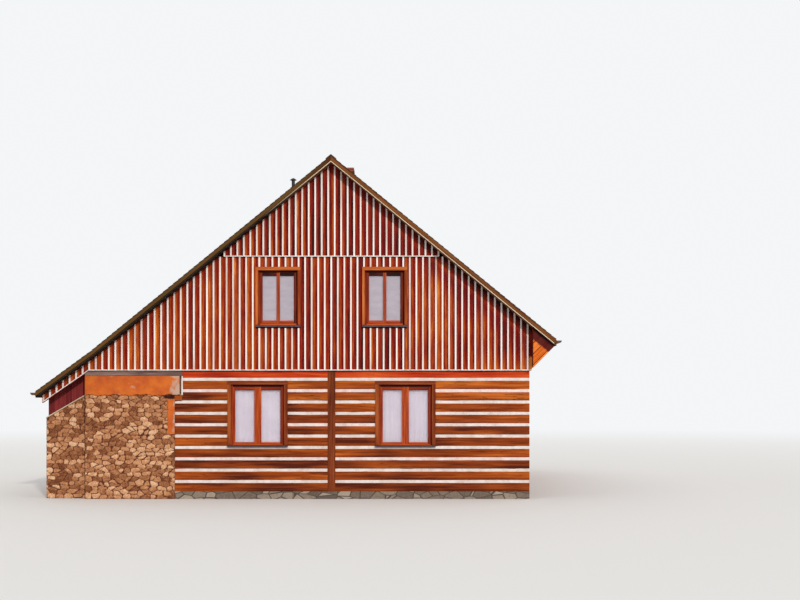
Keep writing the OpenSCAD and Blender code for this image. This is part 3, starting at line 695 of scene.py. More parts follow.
def boardMaterial():
    # orange-brown boards with streaks and blotches drawn out along them. A level picks the colour. It falls
    # over each board's right half, most in the upper tier, as the painted shadow of the next batten, and is
    # held low near the right verge and in the upper tier's right half, partly a maroon stain and partly the
    # verge's
    # painted shadow: there the height below the roof decides, shifted for each board and by a ragged noise
    mat, tree = newMaterial("boardWood")
    x, z = houseAxes(tree)
    streak = noise(places(tree), detail=6.0, rough=0.62, stretch=(48, 48, 0.9))
    blotch = noise(places(tree), detail=5.0, rough=0.66, stretch=(13, 13, 2.0))
    ragged = centred(noise(places(tree), detail=5.0, rough=0.70, stretch=(8, 8, 1.6)))
    tint = attribute(tree, "tint") - 0.5
    under = belowRoof(x, z)
    below = under + ragged * stainAndShade["ragged"] + tint * stainAndShade["board"]
    below = below - spread(x, 2.2, 3.4, 0.0, stainAndShade["wider"])
    # partly a maroon stain, partly the right verge's painted shadow
    maroon = spread(below, stainAndShade["near"], stainAndShade["far"], 1.0, 0.0) * spread(x, -1.2, 0.9, 0.25, 1.0)
    upper = spread(z, house["tier"] - 0.01, house["tier"] + 0.01)
    maroon = calc("MAXIMUM", maroon, upper * spread(x, -0.3, 1.2, 0.05, 0.85))
    # painted shadow of each next batten: the level falls over each board's right half, deepest in the upper
    # tier
    fall = spread(attribute(tree, "across"), 0.30, 0.76)
    base = centred(streak) * 0.56 + 0.68 + centred(blotch) * 0.40 + tint * 0.32
    level = base - fall * (upper * (stainAndShade["upFall"] - stainAndShade["lowFall"]) + stainAndShade["lowFall"])
    level = level - (upper * -0.08 + 0.18) * spread(x, -1.2, -0.4)
    level = level + spread(x, 1.8, 2.0, 0.0, 0.20) - spread(x, 2.6, 2.9, 0.0, 0.15)
    level = level + spread(x, 1.8, 2.0) * spread(abs(z - 4.7), 0.5, 1.0, 0.10, 0.0)
    level = level + spread(z, 3.3, 3.75, 1.0, 0.0) * spread(x, 2.8, 4.0, 0.0, 0.26)
    held = (base - 0.68) * 0.45 + stainAndShade["maroon"] - fall * 0.12
    level = level + maroon * (held - level)
    # painted shade holds the last board before the right-hand corner dark, and painted sunlight lights its
    # foot
    last = spread(x, stainAndShade["last"], stainAndShade["last"] + 0.01)
    sunny = spread(ragged * 0.08 + z, 3.52, 3.58, 1.0, 0.0)
    level = level + last * (0.22 - level)
    # painted light: on the right the level is raised up to about half a metre below the roof, where the
    # verge's shadow falls
    rightSide = spread(x, -0.2, 2.8)
    level = level + rightSide * spread(under, stainAndShade["lift"], stainAndShade["lift"] + 0.1, 0.14, 0.0)
    colour = ramp(level, [(0.0, (60, 2, 2)), (0.22, (116, 7, 6)), (0.45, (146, 38, 5)), (0.65, (168, 68, 11)),
                          (0.85, (196, 98, 24)), (1.0, (226, 136, 54))])
    colour = blendColour(last * sunny, colour, ramp(streak, [(0.3, (236, 116, 40)), (0.7, (255, 168, 84))]))
    # painted shade: near-black right under the verge on the right slope
    shadeUnderVerge = spread(under, stainAndShade["shadeUnderVerge"], stainAndShade["shadeUnderVerge"] + 0.13, 0.88, 0.0)
    colour = blendColour(shadeUnderVerge * rightSide, colour, (20, 1, 3))
    # a painted shadow line under each attic sill
    aside = abs(abs(x - house["centre"]) - atticWin["x"])
    sill = abs(z - (atticWin["z"] - 0.068))
    sillShadow = spread(aside, 0.545, 0.565, 0.9, 0.0) * spread(sill, 0.014, 0.034, 1.0, 0.0)
    colour = blendColour(sillShadow, colour, (34, 4, 4))
    return finish(mat, colour, fromNoise(streak, 0.75, 0.5), blotch * 0.6 + streak, gloss=0.12)


boardWood = boardMaterial()
battenWood = woodMaterial("battenWood", (206, 176, 164), (247, 236, 228), (255, 250, 246), along=(0.8, 30, 1),
                          spreadTint=0.4, bumpiness=0.2, blotch=0.6)
for side, seed in (("Front", 21), ("Back", 41)):
    boards, battens = gableCladding(seed)
    if side == "Back":
        boards, battens = mirrored(boards), mirrored(battens)
    gable = side.lower() + "_gable_"
    build("gableBoards" + side, boards, boardWood,
          [gable + "lower", gable + "upper", "verge_skirts"])
    build("gableBattens" + side, battens, battenWood)
print("gable boards and battens built")


# windows
sash = {"proud": 0.028, "deep": 0.050, "frameFrom": 0.010, "frameTo": 0.064, "play": 0.0015, "broad": 0.12}


def casementBars(w):
    # a fixed frame with two sashes in it; local x across, z up from the sill, y inwards from the wall's
    # face. A row is a bar's ends, its width, and its tint, which holds painted light: the rail below is
    # painted sunlit, and the rail above, the near-black head bar and the right-hand stiles are painted dark
    # as shade
    half, tall, play = w["w"] / 2, w["h"], sash["play"]
    side, head, foot = 0.42 * w["stile"], 0.4 * w["top"], 0.35 * w["low"]
    broad = w["mullion"] > sash["broad"]
    inner = 0.36 * w["mullion"] / 2 if broad else play
    stile, meet = w["stile"] - side, w["mullion"] / 2 - inner
    railTop, railLow = w["top"] - head, w["low"] - foot
    fixed, moving = [], []
    for s in (-1, 1):
        x = s * (half - side / 2)
        fixed.append(((x, 0), (x, tall), side, w["fixedTint"] - 0.20 * s))
        out, near = half - side - play, inner + play
        x = s * (out - stile / 2)
        moving.append(((x, foot), (x, tall - head), stile, w["stileTint"] - 0.12 * s))
        x = s * (near + meet / 2)
        moving.append(((x, foot), (x, tall - head), meet, 0.65))
        a, b = sorted((s * (out - stile), s * (near + meet)))
        z = tall - head - railTop / 2
        moving.append(((a, z), (b, z), railTop, w["railTint"]))
        moving.append(((a, foot + railLow / 2), (b, foot + railLow / 2), railLow, 0.60))
    fixed.append(((side - half, tall - head / 2), (half - side, tall - head / 2), head, -0.10))
    fixed.append(((side - half, foot / 2), (half - side, foot / 2), foot, 0.95))
    if broad:
        fixed.append(((0, foot), (0, tall - head), 2 * inner, 0.75))
    parts = []
    for rows, y0, y1, seed in ((fixed, sash["frameFrom"], sash["frameTo"], 51),
                               (moving, 0.0, sash["deep"], 52)):
        y = w["recess"] - sash["proud"] + (y0 + y1) / 2 - w["face"]
        (x0, z0), (x1, z1) = (np.array([r[k] for r in rows]).T for k in (0, 1))
        wide = np.where((np.abs(z1 - z0) > 0.1)[:, None], acrossX, upZ)
        width, tint = (np.array([r[k] for r in rows]) for k in (2, 3))
        parts.append(bars(xyz(x0, y, z0), xyz(x1, y, z1), wide, front, width, y1 - y0, bevel=0.004, seed=seed,
                          tint=tint))
    return parts


def casingBars(w):
    # side boards and a head board, deep enough to line the opening as far as the frame
    half, y0, y1 = w["w"] / 2 - 0.002, -0.028, w["recess"] - 0.016
    x, over, headZ = half + w["side"] / 2, half + w["side"], w["h"] + w["head"] / 2
    y = (y0 + y1) / 2 - w["face"]
    start = [(-x, y, 0), (x, y, 0), (-over, y, headZ)]
    end = [(-x, y, w["h"]), (x, y, w["h"]), (over, y, headZ)]
    return [bars(start, end, [acrossX, acrossX, upZ], front, [w["side"], w["side"], w["head"]], y1 - y0,
                 bevel=0.004, tint=[w["leftTint"], w["rightTint"], w["headTint"]], seed=61)]


def sillBars(w):
    # folded sheet: a sloping top, its turned-down nose and a core under them. A row is the middle (y, z) of
    # a bar, the two ways of its profile, and its width and depth
    half = w["w"] / 2 + w["side"]
    rows = (((-0.016, -0.012), (0, 0.9906, 0.1365), (0, -0.1365, 0.9906), 0.070, 0.006),
            ((-0.0515, -0.034), upZ, front, 0.040, 0.005), ((-0.010, -0.033), upZ, front, 0.040, 0.056))
    return [bars((-half, y - w["face"], z), (half, y - w["face"], z), wide, deep, width, depth, seed=62 + k)
            for k, ((y, z), wide, deep, width, depth) in enumerate(rows)]


def everyGroundWindow(parts):
    # one window's parts at both windows of each gable and along the right-hand wall
    near = [move(p, (x, 0, groundWin["z"])) for x in groundX for p in parts]
    return bothGables(near) + [q for y in sideWindows for q in onSide(parts, y, groundWin["z"])]


def everyAtticWindow(parts):
    # one window's parts at both attic windows of each gable
    return bothGables([move(p, (x, 0, atticWin["z"])) for x in atticX for p in parts])


casingWood = woodMaterial("casingWood", (120, 40, 14), (182, 86, 34), (216, 124, 60), along=(0.9, 24, 1),
                          spreadTint=0.3, bumpiness=0.3, blotch=0.5, checks=0.5)
darkCasing = woodMaterial("darkCasing", (56, 8, 6), (124, 50, 20), (178, 94, 42), along=(0.9, 24, 1),
                          spreadTint=0.9, bumpiness=0.3, blotch=0.5, checks=0.5)
sashWood = woodMaterial("sashWood", (30, 3, 2), (150, 48, 16), (214, 98, 36), along=(0.9, 24, 1),
                        spreadTint=0.8, bumpiness=0.25, blotch=0.2, rough=(0.4, 0.6))
sillMetal = metalMaterial("sillMetal", (50, 34, 40), (88, 68, 74))
build("groundCasings", everyGroundWindow(casingBars(groundWin)), darkCasing,
      ["ground_casings"])
build("atticCasings", everyAtticWindow(casingBars(atticWin)), casingWood, ["attic_casings"])
build("groundSashes", everyGroundWindow(casementBars(groundWin)), sashWood, ["ground_sashes"])
build("atticSashes", everyAtticWindow(casementBars(atticWin)), sashWood, ["attic_sashes"])
build("foldedSills", everyGroundWindow(sillBars(groundWin)) + everyAtticWindow(sillBars(atticWin)), sillMetal,
      ["window_sills"])
finishNodes(glassMaterial("groundPane", 0.25, (204, 196, 216), (232, 226, 244)), "ground_glass")
finishNodes(glassMaterial("atticPane", 0.60, (196, 188, 200), (214, 204, 216)), "attic_glass")

curtain = {"fold": 0.150, "sway": 0.0065, "behind": 0.030, "columns": 150, "rows": 12, "slack": 0.10,
           "hem": 0.03, "short": 0.09}
netWhite = curtainMaterial()


def hangCurtain(number, w, place, turn, flip, bar):
    # y = sway sin(2 pi x / fold + drift), growing a little towards the hem
    rng = np.random.default_rng(70 + number)
    s, t = np.meshgrid(np.linspace(0, 1, curtain["columns"]), np.linspace(0, 1, curtain["rows"]),
                       indexing="ij")
    x = (s - 0.5) * (w["w"] - curtain["slack"])
    drift = 0.8 * np.sin(2 * np.pi * s * 1.7 + rng.random() * 6) + 0.3 * t
    y = curtain["sway"] * (1.05 - 0.35 * t) * np.sin(2 * np.pi * x / curtain["fold"] + drift)
    y = y + w["recess"] - sash["proud"] + sash["frameTo"] + curtain["behind"] - w["face"]
    tall = w["h"] - curtain["short"]
    z = curtain["hem"] + t * tall
    flatU = np.concatenate([[0], np.cumsum(np.hypot(np.diff(x[:, 5]), np.diff(y[:, 5])))])
    quads = gridQuads(*x.shape)
    uvs = np.stack(np.broadcast_arrays(flatU[:, None], z), -1).reshape(-1, 2)
    part = {"points": xyz(x, y, z).reshape(-1, 3), "faces": [quads], "uvs": [uvs[quads]],
            "tint": np.full(x.size, 0.5)}
    part = move(part, place, turn)
    obj = build(f"netCurtain{number}", mirrored([part]) if flip else [part], netWhite, smooth=True)


hangings = []
for flip in (False, True):
    for ground, attic in zip(groundX, atticX):
        hangings.append((groundWin, (ground, 0, groundWin["z"]), None, flip, "groundSashes"))
        hangings.append((atticWin, (attic, 0, atticWin["z"]), None, flip, "atticSashes"))
hangings += [(groundWin, (house["right"], y, groundWin["z"]), "side", False, "groundSashes")
             for y in sideWindows]
for number, hanging in enumerate(hangings):
    hangCurtain(number, *hanging)
print("windows and curtains built")


# side door
def doorParts():
    # a lining of three boards, and a leaf of seven planks
    half, edge, tall = door["w"] / 2, door["lining"], door["h"]
    side, inner, top = half - edge / 2, half - edge, tall - edge / 2
    y = house["logT"] / 2
    start = [(-side, y, 0), (side, y, 0), (-inner, y, top)]
    end = [(-side, y, tall), (side, y, tall), (inner, y, top)]
    lining = bars(start, end, [acrossX, acrossX, upZ], front, edge, 0.206, bevel=0.004, seed=81)
    marks = np.linspace(-inner + 0.002, inner - 0.002, 8)
    mid = (marks[:-1] + marks[1:]) / 2
    leaf = bars(xyz(mid, 0.080, 0.004), xyz(mid, 0.080, tall - edge - 0.004), acrossX, front,
                marks[1] - marks[0] - 0.001, 0.056, bevel=0.005, seed=82)
    return [onSide([part], door["y"], house["plinth"]) for part in (lining, leaf)]


lining, leaf = doorParts()
doorWood = woodMaterial("doorWood", (110, 42, 24), (158, 72, 38), (190, 100, 58), along=(0.9, 22, 1))
build("doorLining", lining, casingWood, ["door_frame"])
build("doorBoards", leaf, doorWood, ["door_leaf"])


# rubble walls and plaster
wing = {"openIn": 0.743, "openOut": 0.586, "face": 0.200, "boardUp": 0.01, "boardFrom": 0.40, "boardTo": 0.45,
        "copeUp": 0.0175, "copeY": 0.285, "copeTall": 0.029, "copeDeep": 0.230}
rubble = {"cell": (0.20, 0.108), "grid": 0.019, "recess": 0.020, "warp": 0.045}


def hash2(a, b, k):
    # an even scatter in 0..1 for whole numbers a and b
    v = np.sin(a * 127.1 + b * 311.7 + k * 74.7) * 43758.5453
    return v - np.floor(v)


def lump(u, z, size, seed):
    # smooth noise in -0.5..0.5: the scattered values at the corners of each square, blended by s s (3 - 2 s)
    iu, iz = np.floor(u / size), np.floor(z / size)
    s, t = u / size - iu, z / size - iz
    s, t = s * s * (3 - 2 * s), t * t * (3 - 2 * t)
    lower = hash2(iu, iz, seed) * (1 - s) + hash2(iu + 1, iz, seed) * s
    upper = hash2(iu, iz + 1, seed) * (1 - s) + hash2(iu + 1, iz + 1, seed) * s
    return lower * (1 - t) + upper * t - 0.5


def stones(u, z, seed, cell):
    # one jittered middle in each cell: the tint of the nearest, and how much further the next one is
    iu, iz = np.floor(u / cell[0]), np.floor(z / cell[1])
    best = np.full(u.shape, 9.0)
    second = np.full(u.shape, 9.0)
    tint = np.zeros(u.shape)
    for da in (-2, -1, 0, 1, 2):
        for db in (-1, 0, 1):
            a, b = iu + da, iz + db
            pu = (a + 0.5 + 0.5 * (b % 2) + 0.85 * (hash2(a, b, seed) - 0.5)) * cell[0]
            pz = (b + 0.5 + 0.60 * (hash2(a, b, seed + 1) - 0.5)) * cell[1]
            far = ((np.abs(u - pu) / cell[0]) ** 2.2 + (np.abs(z - pz) / cell[1]) ** 2.2) ** (1 / 2.2)
            near = far < best
            second = np.where(near, best, np.minimum(second, far))
            tint = np.where(near, hash2(a, b, seed + 2), tint)
            best = np.minimum(best, far)
    return second - best, tint


def rubbleRelief(u, z, seed):
    # warped cells make uneven stones; each stands out of its joints, leans, and is rough at two sizes
    wu = u + rubble["warp"] * (2.0 * lump(u, z, 0.45, seed + 5) + lump(u, z, 0.11, seed + 6))
    wz = z + rubble["warp"] * (1.6 * lump(u, z, 0.60, seed + 7) + 0.7 * lump(u, z, 0.10, seed + 8))
    gap, tint = stones(wu, wz, seed, rubble["cell"])
    share = np.clip((gap - 0.02) / 0.20, 0, 1)
    share = share * share * (3 - 2 * share)
    rough = 0.016 * lump(u, z, 0.085, seed + 9) + 0.012 * lump(u, z, 0.042, seed + 10)
    out = (share - 1) * rubble["recess"] + (0.35 + 0.65 * share) * rough
    out = out + share * 0.010 * (tint - 0.5) - 0.014
    return np.minimum(out, 0.003), tint, share


def slab(u, z, relief, place, thick, lift=0.0, seed=None):
    # a grid of u and z with its relief outwards, closed by sides to a flat back. With a seed, the sides carry
    # the stones on round the corner: a point at a depth d takes the relief of the place d beyond its edge
    out, tint, joint = (np.broadcast_to(v, u.shape).astype(float).ravel() for v in relief)
    a, b = u.shape
    index = np.arange(a * b).reshape(a, b)
    rim = np.concatenate([index[:, 0], index[-1, 1:], index[-2::-1, -1], index[0, -2:0:-1]])
    way = np.repeat([(0.0, -1.0), (1.0, 0.0), (0.0, 1.0), (-1.0, 0.0)], [a, b - 1, a - 1, b - 2], 0)
    flatU, flatZ = u.ravel(), z.ravel()
    points, flat, sides, ring = [place(flatU, flatZ, out)], [np.stack([flatU, flatZ], 1)], [], rim
    tints, joints, m = [tint], [joint], len(rim)
    count = 1 if seed is None else int(thick / 0.04)
    for k in range(1, count + 1):
        deep = thick * k / count
        flat.append(flat[0][rim] + way * deep)
        inner = (np.zeros(m), tint[rim], joint[rim]) if seed is None else rubbleRelief(*flat[-1].T, seed)
        points.append(place(flatU[rim] + way[:, 0] * inner[0], flatZ[rim] * (1 + lift * k / count),
                            np.full(m, -deep)))
        tints.append(inner[1])
        joints.append(inner[2])
        after = a * b + (k - 1) * m + np.arange(m)
        sides.append(np.stack([np.roll(ring, -1), ring, after, np.roll(after, -1)], 1))
        ring = after
    flat = np.concatenate(flat)
    faces = [gridQuads(a, b), np.concatenate(sides), ring[::-1][None]]
    return {"points": np.concatenate(points), "faces": faces, "uvs": [flat[f] for f in faces],
            "tint": np.concatenate(tints), "joint": np.concatenate(joints)}


def facing(y):
    # relief outwards from a wall face at y
    return lambda u, z, out: xyz(u, y - out, z)


def annexWall(seed):
    # the right edge steps out over the longer lower logs
    left, tall = house["annexLeft"], house["stoneTop"]
    z = np.linspace(0, tall, int(tall / rubble["grid"]))
    edge = np.where(z < house["step"], house["endLow"], house["endHigh"])
    s = np.linspace(0, 1, int((house["endHigh"] - left) / rubble["grid"]))
    u = left + s[:, None] * (edge - left)
    z = np.broadcast_to(z, u.shape)
    return slab(u, z, rubbleRelief(u, z, seed), facing(house["stoneFace"]), house["wallT"], seed=seed)


def wingTop(x):
    # the low wall's top falls evenly from one clear height under the roof to another
    return underLine(x, house["wallLeft"], wing["openIn"], wing["openOut"])


def wingWall(seed):
    # z = t (lowTop + s (inTop - lowTop)), where s runs inwards and t upwards from 0 to 1
    outer, s, t = house["wallLeft"], np.linspace(0, 1, 56)[:, None], np.linspace(0, 1, 124)
    lowTop, inTop = wingTop(outer), wingTop(house["annexLeft"])
    u = np.broadcast_to(outer + s * (house["annexLeft"] - outer), (56, 124))
    z = t * (lowTop + s * (inTop - lowTop))
    return slab(u, z, rubbleRelief(u, z, seed), facing(wing["face"]), house["wallT"], seed=seed)


def leftWall(seed):
    # the low outer wall, whose top leans inwards and up with the roof
    y0, y1 = low("left_wall")[1], high("left_wall")[1]
    tall, inTall = float(eaveZ(house["wallLeft"])), float(eaveZ(house["wallLeft"] + house["wallT"]))
    y, z = np.meshgrid(np.linspace(y0, y1, 600), np.linspace(0, tall, 118), indexing="ij")
    place = lambda u, z, out: xyz(house["wallLeft"] - out, u, z)
    return turnedRound(slab(y, z, rubbleRelief(y, z, seed), place, house["wallT"], inTall / tall - 1, seed))


shadow = {"x": -3.99, "z": 2.560}


def plasterShadow(colour):
    # painted shadow: near-black under the plaster's right end, beside the log end
    x, z = houseAxes(colour.tree)
    ragged = centred(noise(places(colour.tree), 16, 3.0, 0.6))
    beside = spread(abs(x - shadow["x"]), 0.18, 0.24, 0.92, 0.0)
    level = spread(abs(ragged * 0.04 + z - shadow["z"]), 0.040, 0.062, 1.0, 0.0)
    return blendColour(beside * level, colour, (34, 8, 8))


def wornPatch(colour):
    # grey lime shows where the orange coat has come off, near the band's right end on both gables
    near = spread(houseAxes(colour.tree)[0], -4.15, -3.85, 0.0, 0.22)
    share = spread(noise(places(colour.tree), 3.4, 5.0, 0.62) + near, 0.60, 0.72, 0.0, 0.85)
    return blendColour(share, colour, (196, 170, 150))


rubbleStops = [(0.0, (82, 38, 24)), (0.30, (150, 94, 60)), (0.65, (202, 144, 102)), (1.0, (240, 202, 164))]
rubbleStone = stoneMaterial("rubbleStone", rubbleStops, (108, 64, 44), 0.64, 0.55, 0.25, plasterShadow)
build("rubbleFront", [annexWall(3)], rubbleStone, ["annex_front_wall"], smooth=True)
build("rubbleBack", mirrored([annexWall(8)]), rubbleStone, ["annex_back_wall"], smooth=True)
build("rubbleWings", bothGables([wingWall(13)]), rubbleStone, ["wing_walls"], smooth=True)
build("rubbleLeft", [leftWall(17)], rubbleStone, ["left_wall"], smooth=True)
plaster = limeMaterial("orangePlaster", (222, 116, 48), (190, 84, 44), 1.3, 0.8, wornPatch)
finishNodes(plaster, "plaster_bands")
coat = {"thick": 0.03, "left": -4.097, "foot": 1.62, "tall": 0.875}


def plasterSkin():
    # a wavy coat over the band with a ragged lower edge, and the upright strip beside the logs
    u = np.linspace(house["annexLeft"] - 0.004, house["endHigh"] - 0.067, 150)[:, None]
    ragged = 0.014 * np.sin(u * 9.0) + 0.010 * np.sin(u * 23.0 + 1) + 0.006 * np.sin(u * 61.0 + 2)
    foot = house["stoneTop"] - 0.016 + ragged
    z = foot + np.linspace(0, 1, 26) * (high("plaster_bands")[2] - foot)
    u = np.broadcast_to(u, z.shape)
    out = 0.008 + 0.003 * np.sin(u * 5 + z * 3) + 0.002 * np.sin(u * 17 + z * 23)
    band = slab(u, z, (out, 0.5, 1.0), facing(house["stoneFace"]), coat["thick"])
    t = np.linspace(0.0, 1.0, 60)
    left = coat["left"] + 0.010 * np.sin(t * 37) + 0.006 * np.sin(t * 83)
    u = left + np.linspace(0, 1, 12)[:, None] * (house["endLow"] - left)
    z = np.broadcast_to(coat["foot"] + t * coat["tall"], u.shape)
    out = 0.012 + 0.003 * np.sin(u * 15 + z * 13)
    return [band, slab(u, z, (out, 0.5, 1.0), facing(house["stoneFace"]), coat["thick"])]


build("plasterCoat", bothGables(plasterSkin()), plaster, smooth=True)
print("stone and plaster built")


# boards and coping over the wing walls
def wingBoards(seed):
    # seven boards that close the gap between the low wall's coping and the roof
    edges = np.linspace(house["wallLeft"], house["annexLeft"], 8)
    x0, x1 = edges[:-1], edges[1:]
    bottom, top = [wingTop(x) + wing["boardUp"] for x in (x0, x1)], [eaveZ(x) for x in (x0, x1)]
    tint = np.random.default_rng(seed).random(len(x0))
    return [upright(x0 + 0.002, x1 - 0.002, bottom, top, wing["boardFrom"], wing["boardTo"], tint, seed)]


# the wing boards' maroon is painted shade: a darker copy of the gables' orange boards, as they look under the
# roof
wingShadeWood = woodMaterial("wingShadeWood", (84, 22, 26), (124, 40, 42), (150, 60, 58), along=(0.8, 26, 1))
copingWood = woodMaterial("copingWood", (150, 130, 104), (196, 178, 148), (226, 212, 186), along=(0.9, 22, 1),
                          bumpiness=0.5)
build("wingBoards", bothGables(wingBoards(91)), wingShadeWood, ["wing_infill"])
start, end = ((house[key], wing["copeY"], wingTop(house[key]) + wing["copeUp"])
              for key in ("wallLeft", "annexLeft"))
coping = bars(start, end, upZ, front, wing["copeTall"], wing["copeDeep"], rings=8, wave=0.002, seed=92)
build("wingCopings", bothGables([coping]), copingWood, ["wing_copings"])


# roof: core, slates, ridge cap and verges
left, right, kick, outerY = roof["left"], roof["right"], -roof["kick"], roof["verge"]
slates = {"width": 0.20, "step": 0.165, "thick": 0.007, "lift": 0.012, "over": 0.006}
verge = {"top": 0.022, "board": 0.102, "strip": 0.112, "back": 0.008, "short": 0.060}
slabY = outerY - roof["barge"]


def slopeWays(part, side):
    # the unit ways down a stretch of a slope and square to it, on the side of the ridge with that sign
    a = angle[part]
    return np.array([side * np.cos(a), 0, -np.sin(a)]), np.array([side * np.sin(a), 0, np.cos(a)])


def slopeBars(d0, d1, y0, y1, seeds, ends=0.0):
    # slabs along the three straight stretches between depths d0 and d1, their ends cut upright
    parts = []
    for (part, x0, x1), seed in zip((("pitch", 1e-6, right - ends), ("pitch", -1e-6, kick),
                                     ("foot", kick, left + ends)), seeds):
        p0, p1 = ((x, (y0 + y1) / 2, slopeZ(x, (d0 + d1) / 2, part)) for x in (x0, x1))
        tilt = -np.tan(angle[part])
        parts.append(bars(p0, p1, slopeWays(part, np.sign(x1))[1], front, d1 - d0, y1 - y0, skew=(tilt, tilt),
                          seed=seed))
    return parts


def slateCover(x0, x1, part, seed):
    # rows of slates up a slope, each row's lower edge lying on the one below, joints staggered
    rng = np.random.default_rng(seed)
    long = abs(abs(x1) - abs(x0)) / np.cos(angle[part])
    rowCount = int(np.ceil(long / slates["step"]))
    step, outY = long / rowCount, outerY + slates["over"]
    perRow = int((houseLen + 2 * outY) / slates["width"])
    wide = (houseLen + 2 * outY) / perRow
    i, j = np.meshgrid(np.arange(rowCount), np.arange(perRow + 1), indexing="ij")
    y0 = -outY + (j - 0.5 * (i % 2)) * wide
    y0, y1 = np.clip(y0, -outY, houseLen + outY), np.clip(y0 + wide - 0.003, -outY, houseLen + outY)
    keep = (y1 - y0) > 0.02
    i, y0, y1 = i[keep].astype(float), y0[keep], y1[keep]
    down, normal = slopeWays(part, np.sign(x1))
    top = np.array([x0, 0, slopeZ(x0, 0, part)]) - normal * slates["thick"] / 2
    upper = np.maximum(i * step - 0.05, 0.0)
    lower = np.minimum((i + 1) * step + rng.normal(0, 0.0012, len(i)), long)
    head = top + down * upper[:, None] - normal * (slates["lift"] + 0.004)
    tail = top + down * lower[:, None] - normal * (0.0005 + rng.random(len(i))[:, None] * 0.0015)
    head[:, 1] = tail[:, 1] = (y0 + y1) / 2
    return bars(head, tail, inwards, normal, y1 - y0, slates["thick"], seed=seed)


def leftShare(tree, near, far, most):
    # how far to the left of the ridge a point lies, from 0 at near to most at far
    return spread(houseAxes(tree)[0], -far, -near, most, 0.0)


def leftFade(colour):
    # greyer on the left slope
    return blendColour(leftShare(colour.tree, 0.0, 0.8, 0.6), colour, (104, 76, 34))


def stripShade(colour):
    # painted shade: the thin line and the slab's underside are painted near-black on the left slope; the line
    # is pale on the right only
    return blendColour(leftShare(colour.tree, 0.5, 1.7, 0.97), colour, (20, 9, 5))


underWood = woodMaterial("underWood", (70, 44, 30), (112, 76, 52), (146, 106, 76), along=(0.9, 14, 1),
                         over=stripShade)
slateStone = stoneMaterial("slateStone", [(0.0, (46, 36, 30)), (0.5, (70, 54, 44)), (1.0, (98, 80, 66))],
                           vary=0.45, sandy=0.3)
bargeWood = woodMaterial("bargeWood", (48, 22, 8), (96, 52, 20), (140, 82, 36), along=(0.8, 20, 1),
                         bumpiness=0.3, checks=0.6, over=leftFade)
stripWood = woodMaterial("stripWood", (182, 142, 112), (224, 194, 160), (242, 220, 192), along=(0.8, 30, 1),
                         bumpiness=0.2, over=stripShade)
build("roofCore", slopeBars(verge["top"], roof["deep"], -slabY, houseLen + slabY, (95, 95, 95)), underWood,
      ["roof_left", "roof_right"])
build("slatesLeft", [slateCover(-1e-6, kick, "pitch", 96), slateCover(kick, left, "foot", 97)], slateStone)
build("slatesRight", [slateCover(1e-6, right, "pitch", 98)], slateStone)
boards = slopeBars(verge["top"], verge["board"], -outerY, -slabY, (101, 102, 103))
edging = slopeBars(verge["strip"], roof["deep"], verge["back"] - outerY, -slabY, (104, 105, 106),
                   verge["short"])
build("vergeBoards", bothGables(boards), bargeWood, ["bargeboards"])
build("vergeStrips", bothGables(edging), stripWood, ["verge_strips"])
finishNodes(metalMaterial("ridgeSheet", (62, 40, 28), (96, 66, 44)), "ridge_cap")
gutterPaint = metalMaterial("gutterPaint", (70, 46, 30), (112, 78, 52))
finishNodes(gutterPaint, "gutters")
gutter = {"outer": 0.064, "radius": 0.0635, "depth": 0.030, "end": 0.0195, "thick": 0.003}


def gutterCaps():
    # half discs that close each gutter's ends: middle + radius (cos a, sin a), a from 180 to 360 degrees
    turn = np.radians(np.linspace(180, 360, 19))
    start = gutter["end"] - outerY
    parts = []
    for x in (left, right):
        middle = (x + np.sign(x) * gutter["outer"], float(roofZ(x, gutter["depth"])))
        outline = np.array(middle) + gutter["radius"] * np.stack([np.cos(turn), np.sin(turn)], 1)
        parts.append(prism(outline, start, start + gutter["thick"]))
    return bothGables(parts)


build("gutterCaps", gutterCaps(), gutterPaint)
print("roof built")


# boarded box under the right eaves
boxed = {"front": 0.340, "drop": 0.999, "tip": 0.060, "blunt": 0.075, "edge": 0.055, "plank": 0.190,
         "gap": 0.017, "skin": 0.022, "tints": (0.95, 0.35, 0.75, 0.5, 0.2), "under": 5}


def clipped(outline, point, normal):
    # the part of an outline on the side of a line that the line's normal points to
    kept = []
    for a, b in zip(outline, outline[1:] + outline[:1]):
        da, db = float(np.dot(a - point, normal)), float(np.dot(b - point, normal))
        if da >= 0:
            kept.append(a)
        if da * db < 0:
            kept.append(a + (b - a) * da / (da - db))
    return kept


